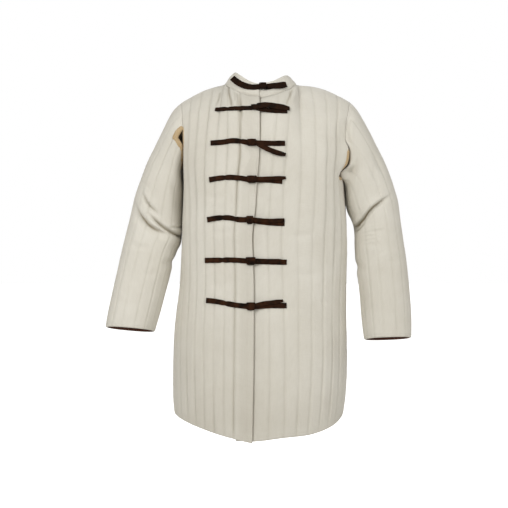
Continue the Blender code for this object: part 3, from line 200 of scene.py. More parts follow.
armholeForm = {
    # place round the armhole counted in sleeve channels, sideways, depth, height
    "right": (
        (0.0, -0.217, 0.0, -0.0505), (1.3, -0.212, -0.044, -0.07),
        (2.7, -0.208, -0.074, -0.113), (4.0, -0.206, -0.078, -0.165),
        (5.5, -0.208, -0.046, -0.208), (7.0, -0.213, 0.0, -0.22),
        (8.5, -0.208, 0.048, -0.206), (10.0, -0.205, 0.078, -0.16),
        (11.3, -0.206, 0.072, -0.105), (12.7, -0.211, 0.042, -0.066),
    ),
    "left": (
        (0.0, 0.245, 0.0, -0.0465), (1.3, 0.24, -0.044, -0.072),
        (2.7, 0.2262, -0.077, -0.136), (3.4, 0.2205, -0.079, -0.196),
        (4.0, 0.2125, -0.07, -0.244), (5.4, 0.222, -0.044, -0.258),
        (7.0, 0.231, 0.0, -0.262),
        (8.5, 0.226, 0.05, -0.228), (10.0, 0.226, 0.076, -0.17),
        (11.3, 0.23, 0.072, -0.108), (12.7, 0.238, 0.042, -0.066),
    ),
    # where the armhole swings outward over its last channel: place, sideways
    "swell": {"right": ((0.0, 0.0), (14.0, 0.0)),
              "left": ((2.6, 0.0), (3.0, 0.005), (3.28, 0.0165), (3.72, 0.017), (4.0, 0.0))},
    "swellFade": (1.0, 0.6, 0.2),     # its share on the channel's columns, from the edge inward
    # how far the sleeve's free edge stands off the armhole: place, sideways, depth, height
    "slit": {
        "right": ((3.1, 0.0, 0.0, 0.0), (3.28, -0.0095, -0.004, 0.0),
                  (3.72, -0.0155, -0.006, 0.0), (4.0, -0.008, -0.005, -0.002),
                  (4.28, -0.001, -0.002, -0.003),
                  (4.72, -0.0005, 0.0, -0.004), (5.5, -0.002, 0.0, -0.005),
                  (7.0, -0.003, 0.0, -0.006), (8.6, -0.003, 0.0, -0.005),
                  (9.8, -0.002, -0.001, -0.002), (10.3, 0.0, 0.0, 0.0)),
        "left": ((3.2, 0.0, 0.0, 0.0), (3.28, -0.0005, 0.004, 0.0),
                 (3.72, 0.002, 0.011, -0.001), (4.0, 0.0012, 0.012, 0.0),
                 (4.6, 0.001, 0.011, -0.003), (5.4, 0.002, 0.008, -0.007),
                 (7.0, 0.002, 0.0, -0.006),
                 (8.6, 0.003, 0.0, -0.005), (9.8, 0.004, -0.001, -0.003),
                 (10.6, 0.0, 0.0, 0.0)),
    },
    "tapeFrom": {"right": 3.0, "left": 3.28},
    "gap": 0.00002,                     # air between sewn edges
    # depth of the tape below the wall's face, half its width across and along the cloth, setback
    "tape": {("sleeve", "right"): (0.0046, 0.006, 0.0078, 0.0036),
             ("armhole", "right"): (0.005, 0.0056, 0.003, 0.0012),
             ("armhole", "left"): (0.0044, 0.0058, 0.0058, 0.0024),
             ("sleeve", "left"): (0.008, 0.004, 0.003, 0.0022)},
    "beads": ((0.05, 0.006), (0.03, 0.017)),    # the tape's gathers: share, pitch
}


def unit(vectors):
    return vectors / np.maximum(np.linalg.norm(vectors, axis=-1, keepdims=True), 1e-12)


def smoothStep(low, high, value):
    share = np.clip((value - low) / (high - low), 0.0, 1.0)
    return share * share * (3 - 2 * share)


def metres(value):
    # Nested tuples of millimetres as metres.
    return tuple(map(metres, value)) if isinstance(value, tuple) else value / 1000


def bent(values, power):
    # Keeps the sign and raises the size to a power: rounds or squares a sine or cosine.
    return np.sign(values) * np.abs(values) ** power


def sectionTurn(sides):
    # Angles round a tube's section, half a step off the start.
    return 2 * np.pi * (np.arange(sides) + 0.5) / sides


def curveThrough(table, at, period=None):
    # Cubic Hermite curve through a table whose first column is the place along it.
    rows = np.array(table, float)
    if period:
        rows = np.vstack([rows[-2:], rows, rows[:2]])
        rows[:2, 0] -= period
        rows[-2:, 0] += period
    keys, values = rows[:, 0], rows[:, 1:]
    if keys[0] > keys[-1]:
        keys, values = keys[::-1], values[::-1]
    slopes = np.gradient(values, keys, axis=0)
    at = np.clip(np.asarray(at, float), keys[0], keys[-1])
    place = np.clip(np.searchsorted(keys, at, side="right") - 1, 0, len(keys) - 2)
    span = (keys[place + 1] - keys[place])[..., None]
    share = (at - keys[place])[..., None] / span
    square, cube = share ** 2, share ** 3
    return ((2 * cube - 3 * square + 1) * values[place]
            + (cube - 2 * square + share) * span * slopes[place]
            + (3 * square - 2 * cube) * values[place + 1]
            + (cube - square) * span * slopes[place + 1])


def softNoise(u, v, seed):
    # Value noise in -1..1: a seeded lattice of numbers, blended by the smooth step between knots.
    lattice = np.random.default_rng(seed).uniform(-1, 1, (64, 64))
    iu, iv = np.floor(u).astype(int), np.floor(v).astype(int)
    fu, fv = smoothStep(0, 1, u - iu), smoothStep(0, 1, v - iv)
    a, b = lattice[iu % 64, iv % 64], lattice[(iu + 1) % 64, iv % 64]
    c, d = lattice[iu % 64, (iv + 1) % 64], lattice[(iu + 1) % 64, (iv + 1) % 64]
    return (a * (1 - fu) + b * fu) * (1 - fv) + (c * (1 - fu) + d * fu) * fv


def openingX(height):
    return curveThrough(torsoForm["opening"], height)[..., 0]


def channelPlaces(widths):
    # Share of the whole width at every coarse column: three columns to a channel, and the last.
    widths = np.array(widths, float)
    edges = np.concatenate([[0.0], np.cumsum(widths)]) / widths.sum()
    inside = edges[:-1, None] + np.diff(edges)[:, None] * np.array(quilting["steps"][:3])
    return np.append(inside.ravel(), 1.0)


def sectionPoints(side, face, height, start, share):
    # Quarter of a superellipse |x/a|^p + |y/b|^p = 1; the point where its arc length,
    # counted from `start`, reaches `share` of the way to the side seam.
    levels = curveThrough(torsoForm["levels"], height)
    half = levels[..., 0 if side == "right" else 1]
    depth = levels[..., 2 if face == "front" else 3]
    power = levels[..., 4]
    angle = np.linspace(0.0, np.pi / 2, 120)
    across = half[..., None] * np.sin(angle) ** (2 / power[..., None])
    out = depth[..., None] * np.cos(angle) ** (2 / power[..., None])
    piece = np.hypot(np.diff(across), np.diff(out))
    arc = np.concatenate([np.zeros_like(piece[..., :1]), np.cumsum(piece, axis=-1)], axis=-1)
    place = start + share * (arc[..., -1] - start)
    low = np.clip((arc <= place[..., None]).sum(-1) - 1, 0, len(angle) - 2)[..., None]
    pick = lambda values, step: np.take_along_axis(values, low + step, -1)[..., 0]
    part = (place - pick(arc, 0)) / (pick(arc, 1) - pick(arc, 0))
    x = pick(across, 0) + part * (pick(across, 1) - pick(across, 0))
    y = pick(out, 0) + part * (pick(out, 1) - pick(out, 0))
    near = depth * (1 - np.abs(np.minimum(place, 0) / half) ** power) ** (1 / power)
    x, y = np.where(place < 0, place, x), np.where(place < 0, near, y)
    return np.stack([sideSign[side] * x, (-y if face == "front" else y), height], axis=-1)


def neckPoints(side, face, share, form):
    # Quarter turn from the middle (share 0) to the neck's side (1); below 0 it mirrors across.
    # x = side sin, y = middle cos, z rises from the middle's height by 1 - cos ^ dip.
    sideX, sideZ = form["side"][side]
    middleY, middleZ = form[face]
    turn = np.abs(share) * np.pi / 2
    cosine = np.where(np.abs(share) < 1 - 1e-9, np.cos(turn), 0.0)
    return np.stack([sideX * np.sin(turn) * np.where(share < 0, -1, 1), middleY * np.cos(turn),
                     sideZ + (middleZ - sideZ) * cosine ** form["dip"]], axis=-1)


def ringPlaces():
    # Places of the sleeve's coarse columns round the armhole, counted in channels.
    return (np.arange(ringChannels)[:, None] + np.array(quilting["steps"][:3])).ravel()


def armholeRing(side):
    return curveThrough(armholeForm[side], ringPlaces(), period=ringChannels)


def armholeSwell(side):
    # Sideways swing of the armhole at each coarse place round it.
    return np.interp(ringPlaces(), *np.array(armholeForm["swell"][side]).T)


def panelHalf(side, face, widths, neckChannels):
    # One half of the body as a coarse grid [row, column, xyz] from the middle to the side seam:
    # torso outlines below the armhole's corner, above it a Coons patch between the middle line,
    # the neckline with the shoulder seam, the armhole and the row below.
    q = quilting
    upper, lower = q["upperRows"], q["lowerRows"]
    chest, hem = channelPlaces(widths["chest"]), channelPlaces(widths["hem"])
    columns = len(chest)
    corner = columns - 1 - 3 * q["sideChannels"]
    ring = armholeRing(side)
    half = 3 * ringChannels // 2
    edge = ring[:half + 1] if face == "front" else np.vstack([ring[half:], ring[:1]])[::-1]
    cornerHeight = edge[upper, 2]
    startOf = lambda height: (np.zeros_like(np.asarray(height, float)) if face == "back"
                              else sideSign[side] * openingX(height))
    reach = np.arange(lower + 1) / lower
    crowd = torsoForm["rowSpacing"]
    reach = (reach * (1 - crowd + crowd * reach))[:, None]
    topHeight = np.full(columns, cornerHeight)
    topHeight[corner:] = edge[upper:, 2]
    share = chest + (hem - chest) * reach
    hemTable = torsoForm["hem"]["back" if face == "back" else (side, face)]
    height = topHeight + (curveThrough(hemTable, share)[..., 0] - topHeight) * reach
    below = sectionPoints(side, face, height, startOf(height), share)
    pull = np.zeros((columns, 3))
    pull[corner:] = edge[upper:] - below[0, corner:]
    pullColumns, pullRows = torsoForm["pull"]
    steps = np.arange(1.0, pullColumns)
    pull[corner - steps.astype(int)] = (pull[corner]
                                        * (1 - smoothStep(0.0, pullColumns, steps))[:, None])
    fade = 1 - smoothStep(0.0, pullRows, np.arange(lower + 1.0))
    below = below + pull * fade[:, None, None]

    neckColumns = 3 * neckChannels
    seam = neckForm["seam"]
    first = startOf(seam["front"][1] if face == "front" else 0.0) / neckForm["shareLength"]
    neckShare = first + (1 - first) * channelPlaces(widths["chest"][:neckChannels])
    top = np.zeros((corner + 1, 3))
    top[:neckColumns + 1] = neckPoints(side, face, neckShare, seam)
    along = channelPlaces((1,) * q["shoulderChannels"])[:, None]
    neckSide = neckPoints(side, "front", np.array(1.0), seam)
    tip = np.array(armholeForm[side][0][1:])
    top[neckColumns:] = neckSide + (tip - neckSide) * along
    top[neckColumns:, 2] += torsoForm["shoulderRound"][side] * np.sin(np.pi * along[:, 0])
    v = np.linspace(0.0, 1.0, upper + 1)
    heights = top[0, 2] + (cornerHeight - top[0, 2]) * v
    middle = curveThrough(torsoForm["profile"][face], heights)[..., 0]
    left = np.stack([sideSign[side] * startOf(heights), -middle if face == "front" else middle,
                     heights], axis=-1)
    left[0], left[-1] = top[0], below[0, 0]
    right, bottom = edge[:upper + 1], below[0, :corner + 1]
    u = (chest[:corner + 1] / chest[corner])[None, :, None]
    v = v[:, None, None]
    patch = ((1 - v) * top + v * bottom + (1 - u) * left[:, None] + u * right[:, None]
             - (1 - v) * ((1 - u) * top[0] + u * top[-1])
             - v * ((1 - u) * bottom[0] + u * bottom[-1]))
    rows = upper + lower + 1
    grid = np.full((rows, columns, 3), np.nan)
    grid[upper:] = below
    grid[:upper + 1, :corner + 1] = patch

    # even out depth and height where the patch meets the outlines below it
    rounds, strength, spread = torsoForm["evening"]
    strength = strength * np.clip(1 - np.abs(np.arange(1, rows - 1) - upper) / spread, 0.0, 1.0)
    for _ in range(rounds):
        inner = grid[1:-1, 1:-1]
        mean = 0.25 * (grid[:-2, 1:-1] + grid[2:, 1:-1] + grid[1:-1, :-2] + grid[1:-1, 2:])
        allowed = np.isfinite(mean[..., 0]) & np.isfinite(inner[..., 0])
        allowed[:upper, corner - 1] = False
        allowed[upper - 1, corner - 1:] = False
        moved = inner + (mean - inner) * strength[:, None, None]
        moved[..., 0] = inner[..., 0]
        inner[allowed] = moved[allowed]
    cells = np.ones((rows - 1, columns - 1), bool)
    cells[:upper, corner:] = False
    return grid, cells, corner


def gridNormals(grid, cells, wrap=False):
    # Sum of the cross products of the diagonals of the cells that meet at a point.
    wide = np.concatenate([grid, grid[:, :1]], axis=1) if wrap else grid
    face = np.cross(wide[1:, 1:] - wide[:-1, :-1], wide[1:, :-1] - wide[:-1, 1:])
    face = np.where(cells[..., None], np.nan_to_num(face), 0.0)
    total = np.zeros_like(wide)
    total[:-1, :-1] += face
    total[:-1, 1:] += face
    total[1:, 1:] += face
    total[1:, :-1] += face
    if wrap:
        total[:, 0] += total[:, -1]
        total = total[:, :-1]
    return unit(total)


def surfaceDepth(grids, x, z, margin=0.006):
    # Foremost y of the surfaces under places (x, z), by barycentric coordinates in x and z.
    corners = []
    for grid in grids:
        a, b, c, d = grid[:-1, :-1], grid[:-1, 1:], grid[1:, 1:], grid[1:, :-1]
        corners += [np.stack([a, b, c], axis=-2).reshape(-1, 3, 3),
                    np.stack([a, c, d], axis=-2).reshape(-1, 3, 3)]
    tri = np.concatenate(corners)
    tri = tri[np.isfinite(tri).all(axis=(1, 2))]
    for axis, values in ((2, z), (0, x)):
        tri = tri[(tri[..., axis].max(1) > values.min() - margin)
                  & (tri[..., axis].min(1) < values.max() + margin)]
    one, e1, e2 = tri[:, 0], tri[:, 1] - tri[:, 0], tri[:, 2] - tri[:, 0]
    det = e1[:, 0] * e2[:, 2] - e1[:, 2] * e2[:, 0]
    det = np.where(np.abs(det) < 1e-14, 1e-14, det)
    dx, dz = x.reshape(-1, 1) - one[:, 0], z.reshape(-1, 1) - one[:, 2]
    u = (dx * e2[:, 2] - dz * e2[:, 0]) / det
    v = (e1[:, 0] * dz - e1[:, 2] * dx) / det
    hit = (u >= -0.001) & (v >= -0.001) & (u + v <= 1.001)
    y = np.where(hit, one[:, 1] + u * e1[:, 1] + v * e2[:, 1], 9.0)
    return y.min(axis=1).reshape(x.shape)


def lineWeights(count, at, breaks=(), wrap=False):
    # Catmull-Rom weights: point(at) = weights @ points. The slope at a point is half the way
    # between its neighbours, one-sided at the ends and at breaks.
    at = np.asarray(at, float)
    low = np.floor(at).astype(int)
    if not wrap:
        low = np.clip(low, 0, count - 2)
    f = at - low
    square, cube = f ** 2, f ** 3
    result = np.zeros((len(at), count))
    rows = np.arange(len(at))

    def put(index, value):
        np.add.at(result, (rows, index % count), value)

    put(low, 2 * cube - 3 * square + 1)
    put(low + 1, 3 * square - 2 * cube)
    stops = set(breaks) | (set() if wrap else {0, count - 1})
    for end, weight in ((0, cube - 2 * square + f), (1, cube - square)):
        index = low + end
        stopped = np.isin(index, list(stops))
        before = np.where(stopped & (end == 0), index, index - 1)
        after = np.where(stopped & (end == 1), index, index + 1)
        scale = weight / (after - before)
        put(after, scale)
        put(before, -scale)
    return result


def fineColumns(channels, perStep):
    # Coarse column number of every fine column.
    return np.arange(3 * channels * perStep + 1) / perStep


def fineRows():
    # Coarse row number of every fine row, with four more close to the hem's turned edge.
    q = quilting
    upper = np.arange(q["upperRows"] * q["upperFine"]) / q["upperFine"]
    last = q["upperRows"] + q["lowerRows"]
    lower = q["upperRows"] + np.arange(q["lowerRows"] * q["lowerFine"] + 1) / q["lowerFine"]
    edge = last - np.array([0.045, 0.026, 0.013, 0.005])
    return np.unique(np.round(np.concatenate([upper, lower, edge]), 6))


def channelPlace(at):
    # Number of the channel plus the share across it, for coarse column numbers.
    whole = np.floor(at / 3 + 1e-9)
    return whole + np.interp(at - 3 * whole, (0, 1, 2, 3), quilting["steps"])


def fillOut(grid):
    # Carries each row on past the armhole so that the fine sampling has numbers there.
    full = grid.copy()
    bad = ~np.isfinite(full[..., 0])
    for row in np.where(bad.any(axis=1))[0]:
        good = np.where(~bad[row])[0]
        columns = np.arange(full.shape[1])
        nearest = np.clip(columns, good[0], good[-1])
        full[row] = full[row, nearest]
    return full


def arcs(grid, axis):
    # Distance walked along one direction of the grid, from its first row or column.
    step = np.linalg.norm(np.diff(grid, axis=axis), axis=-1)
    zero = np.zeros_like(np.take(step, [0], axis=axis))
    return np.concatenate([zero, np.cumsum(step, axis=axis)], axis=axis)


def puffShape(share):
    # Height across a channel: 1 - |2s - 1| ^ 3.2, steep at the stitching and flat on top.
    return 1 - np.abs(2 * share - 1) ** 3.2


def shellMesh(name, outer, inner, cells, materials, groove, wrap, facing):
    # A closed cloth wall: outer and inner grids joined by a rim wherever a cell has no neighbour.
    # uv = metres walked across and along the cloth.
    rows, columns = outer.shape[:2]
    wide = lambda grid: np.concatenate([grid, grid[:, :1]], axis=1) if wrap else grid
    ids = wide(np.arange(rows * columns).reshape(rows, columns)[..., None])[..., 0]
    uvOuter = np.stack([arcs(wide(outer), 1), arcs(wide(outer), 0)], axis=-1)
    shift = rows * columns
    padded = np.pad(cells, 1)
    if wrap:
        padded[:, 0], padded[:, -1] = padded[:, -2], padded[:, 1]
    a, b, c, d = (0, 0), (0, 1), (1, 1), (1, 0)

    def quads(mask, layout):
        # layout: (corner, is inner) four times
        r, k = np.where(mask)
        face = [ids[r + dr, k + dc] + (shift if isInner else 0) for (dr, dc), isInner in layout]
        uv = [uvOuter[r + dr, k + dc] for (dr, dc), _ in layout]
        return np.stack(face, axis=1), np.stack(uv, axis=1)

    # the two faces, then the rim above, below, left and right of the open cells
    groups = [quads(cells, ((a, 0), (b, 0), (c, 0), (d, 0))),
              quads(cells, ((a, 1), (d, 1), (c, 1), (b, 1)))]
    for one, two, beside in ((b, a, padded[:-2, 1:-1]), (d, c, padded[2:, 1:-1]),
                             (a, d, padded[1:-1, :-2]), (c, b, padded[1:-1, 2:])):
        groups.append(quads(cells & ~beside, ((one, 0), (two, 0), (two, 1), (one, 1))))
    slots = np.concatenate([np.full(len(g[0]), 1 if i == 1 else 0) for i, g in enumerate(groups)])
    # facing rows of the inner face take the third material, the dark russet painted shade inside
    # the cuff
    if facing is not None:
        innerRow = np.where(cells)[0]
        first = len(groups[0][0])
        slots[first:first + len(innerRow)] = np.where(facing[innerRow], 2, 1)
    faces = np.concatenate([g[0] for g in groups])
    uvs = np.concatenate([g[1] for g in groups])
    points = np.concatenate([outer.reshape(-1, 3), inner.reshape(-1, 3)])
    # painted shade on the outer points; the inner ones get none
    marks = np.concatenate([groove.ravel(), np.zeros(shift)])
    used, faces = np.unique(faces, return_inverse=True)
    faces = faces.reshape(-1, 4)
    flat = np.arange(len(faces)) >= len(groups[0][0]) + len(groups[1][0])
    return addPiece(name, points[used], faces, materials, uvs, slots, marks[used], flat)


def addPiece(name, points, faces, materials, uvs=None, slots=None, marks=None, flat=None):
    # Arrays into a smooth mesh; turned inside out if its signed volume is negative.
    tri = np.concatenate([faces[:, (0, k, k + 1)] for k in range(1, faces.shape[1] - 1)])
    volume = np.sum(points[tri[:, 0]] * np.cross(points[tri[:, 1]], points[tri[:, 2]]))
    if volume < 0:
        faces = faces[:, ::-1]
        uvs = None if uvs is None else uvs[:, ::-1]
    mesh = bpy.data.meshes.new(name)
    mesh.vertices.add(len(points))
    mesh.vertices.foreach_set("co", np.ascontiguousarray(points, np.float32).ravel())
    mesh.loops.add(faces.size)
    mesh.loops.foreach_set("vertex_index", np.ascontiguousarray(faces, np.int32).ravel())
    mesh.polygons.add(len(faces))
    mesh.polygons.foreach_set("loop_start",
                              np.arange(len(faces), dtype=np.int32) * faces.shape[1])
    if slots is not None:
        mesh.polygons.foreach_set("material_index", slots.astype(np.int32))
    mesh.update(calc_edges=True)
    mesh.validate()
    mesh.shade_smooth()
    if flat is not None:
        mesh.polygons.foreach_set("use_smooth", ~flat)
    if uvs is not None:
        layer = mesh.uv_layers.new(name="cloth")
        layer.data.foreach_set("uv", np.ascontiguousarray(uvs, np.float32).ravel())
    if marks is not None:
        mark = mesh.attributes.new("groove", "FLOAT", "POINT")
        mark.data.foreach_set("value", marks.astype(np.float32))
    for material in materials:
        mesh.materials.append(material)
    piece = bpy.data.objects.new(name, mesh)
    bpy.context.scene.collection.objects.link(piece)
    return piece


def newMaterial(name, sockets):
    material = bpy.data.materials.new(name)
    material.use_nodes = True
    tree = material.node_tree
    shader = tree.nodes["Principled BSDF"]
    for key, value in sockets.items():
        shader.inputs[key].default_value = value
    return material, tree, shader


def clothMaterial(name, light, dark, deep, threadMm, bump):
    # Plain-woven cotton: warp and weft waves in the cloth's own metres, slubs that lie along the
    # threads, cloudy yellowing, and painted shade: the deep colour mixed in where the per-point
    # shade attribute is high, in stitched lines, folds and patches. The thread pitch is drawn
    # coarser than real canvas has it, so that it shows.
    material, tree, shader = newMaterial(name, {"Roughness": 0.9, "Sheen Weight": 0.12,
                                                "Sheen Roughness": 0.5,
                                                "Specular IOR Level": 0.25})
    uv = addNode(tree, "UVMap", {"uv_map": "cloth"})
    place = addNode(tree, "TexCoord")
    cloud = addNode(tree, "TexNoise", {"Scale": 9.0, "Detail": 4.0, "Roughness": 0.55},
                    {"Vector": place.outputs["Object"]})
    thread = 1000.0 / threadMm / 20.0 * np.pi
    slubs, weaves = [], []
    for axis, scale in (("X", (420.0, 38.0, 1.0)), ("Y", (38.0, 420.0, 1.0))):
        spread = addNode(tree, "Mapping", {"Scale": scale}, {"Vector": uv.outputs[0]})
        slubs.append(addNode(tree, "TexNoise", {"Scale": 1.0, "Detail": 2.0},
                             {"Vector": spread.outputs[0]}))
        weaves.append(addNode(tree, "TexWave",
                              {"bands_direction": axis, "Scale": thread, "Distortion": 0.4,
                               "Detail": 0.0}, {"Vector": uv.outputs[0]}))
    weave, slub = (addNode(tree, "Math", {"operation": operation},
                           {0: pair[0].outputs["Fac"], 1: pair[1].outputs["Fac"]})
                   for operation, pair in (("MULTIPLY", weaves), ("ADD", slubs)))
    tone = addNode(tree, "Math", {"operation": "MULTIPLY_ADD", 1: 0.45},
                   {0: slub.outputs[0], 2: cloud.outputs["Fac"]})
    level = addNode(tree, "MapRange", {"From Min": 0.62, "From Max": 1.28},
                    {"Value": tone.outputs[0]})
    base = addNode(tree, "Mix",
                   {"data_type": "RGBA", 6: hexColor(dark), 7: hexColor(light)},
                   {0: level.outputs[0]})
    # painted shade: a per-point attribute mixes the deep colour into the cloth's colour
    mark = addNode(tree, "Attribute", {"attribute_name": "groove"})
    final = addNode(tree, "Mix", {"data_type": "RGBA", 7: hexColor(deep)},
                    {0: mark.outputs["Fac"], 6: base.outputs[2]})
    height = addNode(tree, "Math", {"operation": "MULTIPLY_ADD", 1: 0.6},
                     {0: weave.outputs[0], 2: slub.outputs[0]})
    joinShader(tree, shader, final, height, bump, 0.0006)
    return material


def joinShader(tree, shader, color, height, strength, distance):
    # A mix node's colour and a height field's bump go to the shader.
    tree.links.new(color.outputs[2], shader.inputs["Base Color"])
    relief = addNode(tree, "Bump", {"Strength": strength, "Distance": distance},
                     {"Height": height.outputs[0]})
    tree.links.new(relief.outputs[0], shader.inputs["Normal"])


def suedeMaterial():
    # Dark brown suede split leather: a short nap that breaks the light into soft patches,
    # lighter and redder in some patches and lower down, nearly black in the folds. The upper ties
    # are the darker ones.
    material, tree, shader = newMaterial("darkBrownSuede", {
        "Roughness": 0.95, "Sheen Weight": 0.04, "Sheen Roughness": 0.5,
        "Sheen Tint": hexColor("#5a3526"), "Specular IOR Level": 0.12})
    place = addNode(tree, "TexCoord").outputs["Object"]
    patch = addNode(tree, "TexNoise", {"Scale": 55.0, "Detail": 5.0, "Roughness": 0.65},
                    {"Vector": place})
    nap = addNode(tree, "TexNoise", {"Scale": 700.0, "Detail": 3.0}, {"Vector": place})
    level = addNode(tree, "MapRange", {"From Min": 0.35, "From Max": 0.68},
                    {"Value": patch.outputs["Fac"]})
    axes = addNode(tree, "SeparateXYZ", {}, {"Vector": place})
    heightTone = addNode(tree, "MapRange", {"From Min": -0.35, "From Max": -0.05,
                                                "To Min": 1.0, "To Max": 0.45},
                   {"Value": axes.outputs["Z"]})
    share = addNode(tree, "Math", {"operation": "MULTIPLY"},
                    {0: level.outputs[0], 1: heightTone.outputs[0]})
    color = addNode(tree, "Mix", {"data_type": "RGBA", 6: hexColor("#120a05"),
                                            7: hexColor("#3a200f")}, {0: share.outputs[0]})
    height = addNode(tree, "Math", {"operation": "MULTIPLY_ADD", 1: 0.5},
                     {0: nap.outputs["Fac"], 2: patch.outputs["Fac"]})
    joinShader(tree, shader, color, height, 0.5, 0.0008)
    return material


def threadMaterial(name, light, dark):
    # Twisted cotton sewing thread: tone bands that follow its twist.
    material, tree, shader = newMaterial(name, {"Roughness": 0.7})
    place = addNode(tree, "TexCoord")
    twist = addNode(tree, "TexWave", {"bands_direction": "DIAGONAL", "Scale": 300.0},
                    {"Vector": place.outputs["Object"]})
    color = addNode(tree, "Mix", {"data_type": "RGBA", 6: hexColor(dark),
                                            7: hexColor(light)}, {0: twist.outputs["Fac"]})
    tree.links.new(color.outputs[2], shader.inputs["Base Color"])
    return material


def lapAmount(beyond):
    # 1 behind the upper front's free edge, falling to 0 a few centimetres past it.
    return 1 - smoothStep(0.001, 0.026, beyond)


def bodyGrids():
    # Coarse grids, wall directions and cells of the fronts and the back, as the frame has them.
    q = quilting
    upper, rows = q["upperRows"], q["upperRows"] + q["lowerRows"] + 1
    (right, rightCells, rightCorner), (left, leftCells, leftCorner) = (
        panelHalf(side, "front", channelWidths[side, "front"], q["neckChannels"][side])
        for side in ("right", "left"))
    (backR, backRCells, backCorner), (backL, backLCells, _) = (
        panelHalf(side, "back", channelWidths["back"], q["backNeckChannels"])
        for side in ("right", "left"))

    for side, grid, corner in (("right", right, rightCorner), ("left", left, leftCorner)):
        for step, share in enumerate(armholeForm["swellFade"]):
            grid[:upper + 1, corner - step, 0] += share * armholeSwell(side)[:upper + 1]

    # the under front has one more channel behind the upper one
    free = left[:, 0]
    backOff = q["underlap"] * (1 - np.array(q["steps"][:3]))
    x = free[:, None, 0] - backOff
    z = free[:, None, 2] + np.zeros(3)
    y = surfaceDepth([right], x - 1e-4, z, 1.0)
    half, _, depth, _, power = np.moveaxis(curveThrough(torsoForm["levels"], z), -1, 0)
    y = np.where(y > 1.0, -depth * (1 - np.abs(x / half) ** power) ** (1 / power), y)
    fall = q["underlapFall"] * backOff * (np.arange(rows) > 0)[:, None]
    under = np.concatenate([np.stack([x, y, z + fall], axis=-1), left], axis=1)
    underCells = np.concatenate([np.ones((rows - 1, 3), bool), leftCells], axis=1)
    wholeLeft = under.copy()
    lapNormal = gridNormals(under, underCells)
    lapNormal = lapNormal * (-1 if np.nansum(lapNormal[..., 1]) > 0 else 1)
    amount = lapAmount(under[..., 0] - openingX(np.nan_to_num(under[..., 2])))
    under = under - lapNormal * q["lapDrop"] * amount[..., None]
    back = np.concatenate([backR[:, ::-1], backL[:, 1:]], axis=1)
    backCells = np.concatenate([backRCells[:, ::-1], backLCells], axis=1)
    body = {
        "front_right": {"grid": right, "cells": rightCells, "corner": rightCorner,
                        "neck": 3 * q["neckChannels"]["right"]},
        "front_left": {"grid": under, "cells": underCells, "corner": leftCorner + 3, "neck": 12,
                       "whole": wholeLeft},
        "back": {"grid": back, "cells": backCells, "corner": backCorner,
                 "middle": backR.shape[1] - 1, "neck": 3 * q["backNeckChannels"]},
    }
    for panel in body.values():
        normal = gridNormals(panel["grid"], panel["cells"])
        facing = np.nansum(normal * panel["grid"] * (1, 1, 0))
        panel["normal"] = -normal if facing < 0 else normal
    return body


def armholePath(body, side, face):
    # A panel, its rows and columns along the armhole from the shoulder tip to the side seam, and
    # the rows and columns next to them inside the panel.
    upper, reach = quilting["upperRows"], 3 * quilting["sideChannels"]
    if face == "front":
        panel = body["front_" + side]
        corner, sign = panel["corner"], 1
    else:
        panel = body["back"]
        sign = int(sideSign[side])
        corner = panel["middle"] + sign * panel["corner"]
    rows = np.concatenate([np.arange(upper + 1), np.full(reach, upper)])
    columns = np.concatenate([np.full(upper + 1, corner), corner + sign * np.arange(1, reach + 1)])
    insideRows = np.where(rows < upper, rows, upper + 1)
    insideColumns = np.where(np.arange(len(rows)) <= upper, columns - sign, columns)
    return panel, rows, columns, insideRows, insideColumns


makeStudio()
# the fourth colour of each cloth is the painted shade's colour, mixed in by the per-point shade
# attribute
canvas = clothMaterial("unbleachedCottonCanvas", "#d3cfc4", "#c7c2b5", "#82775f", 1.6, 0.35)
lining = clothMaterial("undyedCottonLining", "#c2b8a6", "#ab9f8a", "#85775f", 1.2, 0.25)
# painted shade: a dark russet strip inside each cuff stands in for the shade in the sleeve's mouth
facing = clothMaterial("russetPaintedCuffShade", "#6a4334", "#553326", "#3a221a", 1.0, 0.3)
biasTape = clothMaterial("tanBiasTape", "#bfa884", "#a88f68", "#7c6742", 0.9, 0.3)
suede = suedeMaterial()
creamThread = threadMaterial("naturalCottonThread", "#cfcabd", "#bfb9aa")
brownThread = threadMaterial("brownWaxedThread", "#3a2419", "#1c110c")
print("materials made")


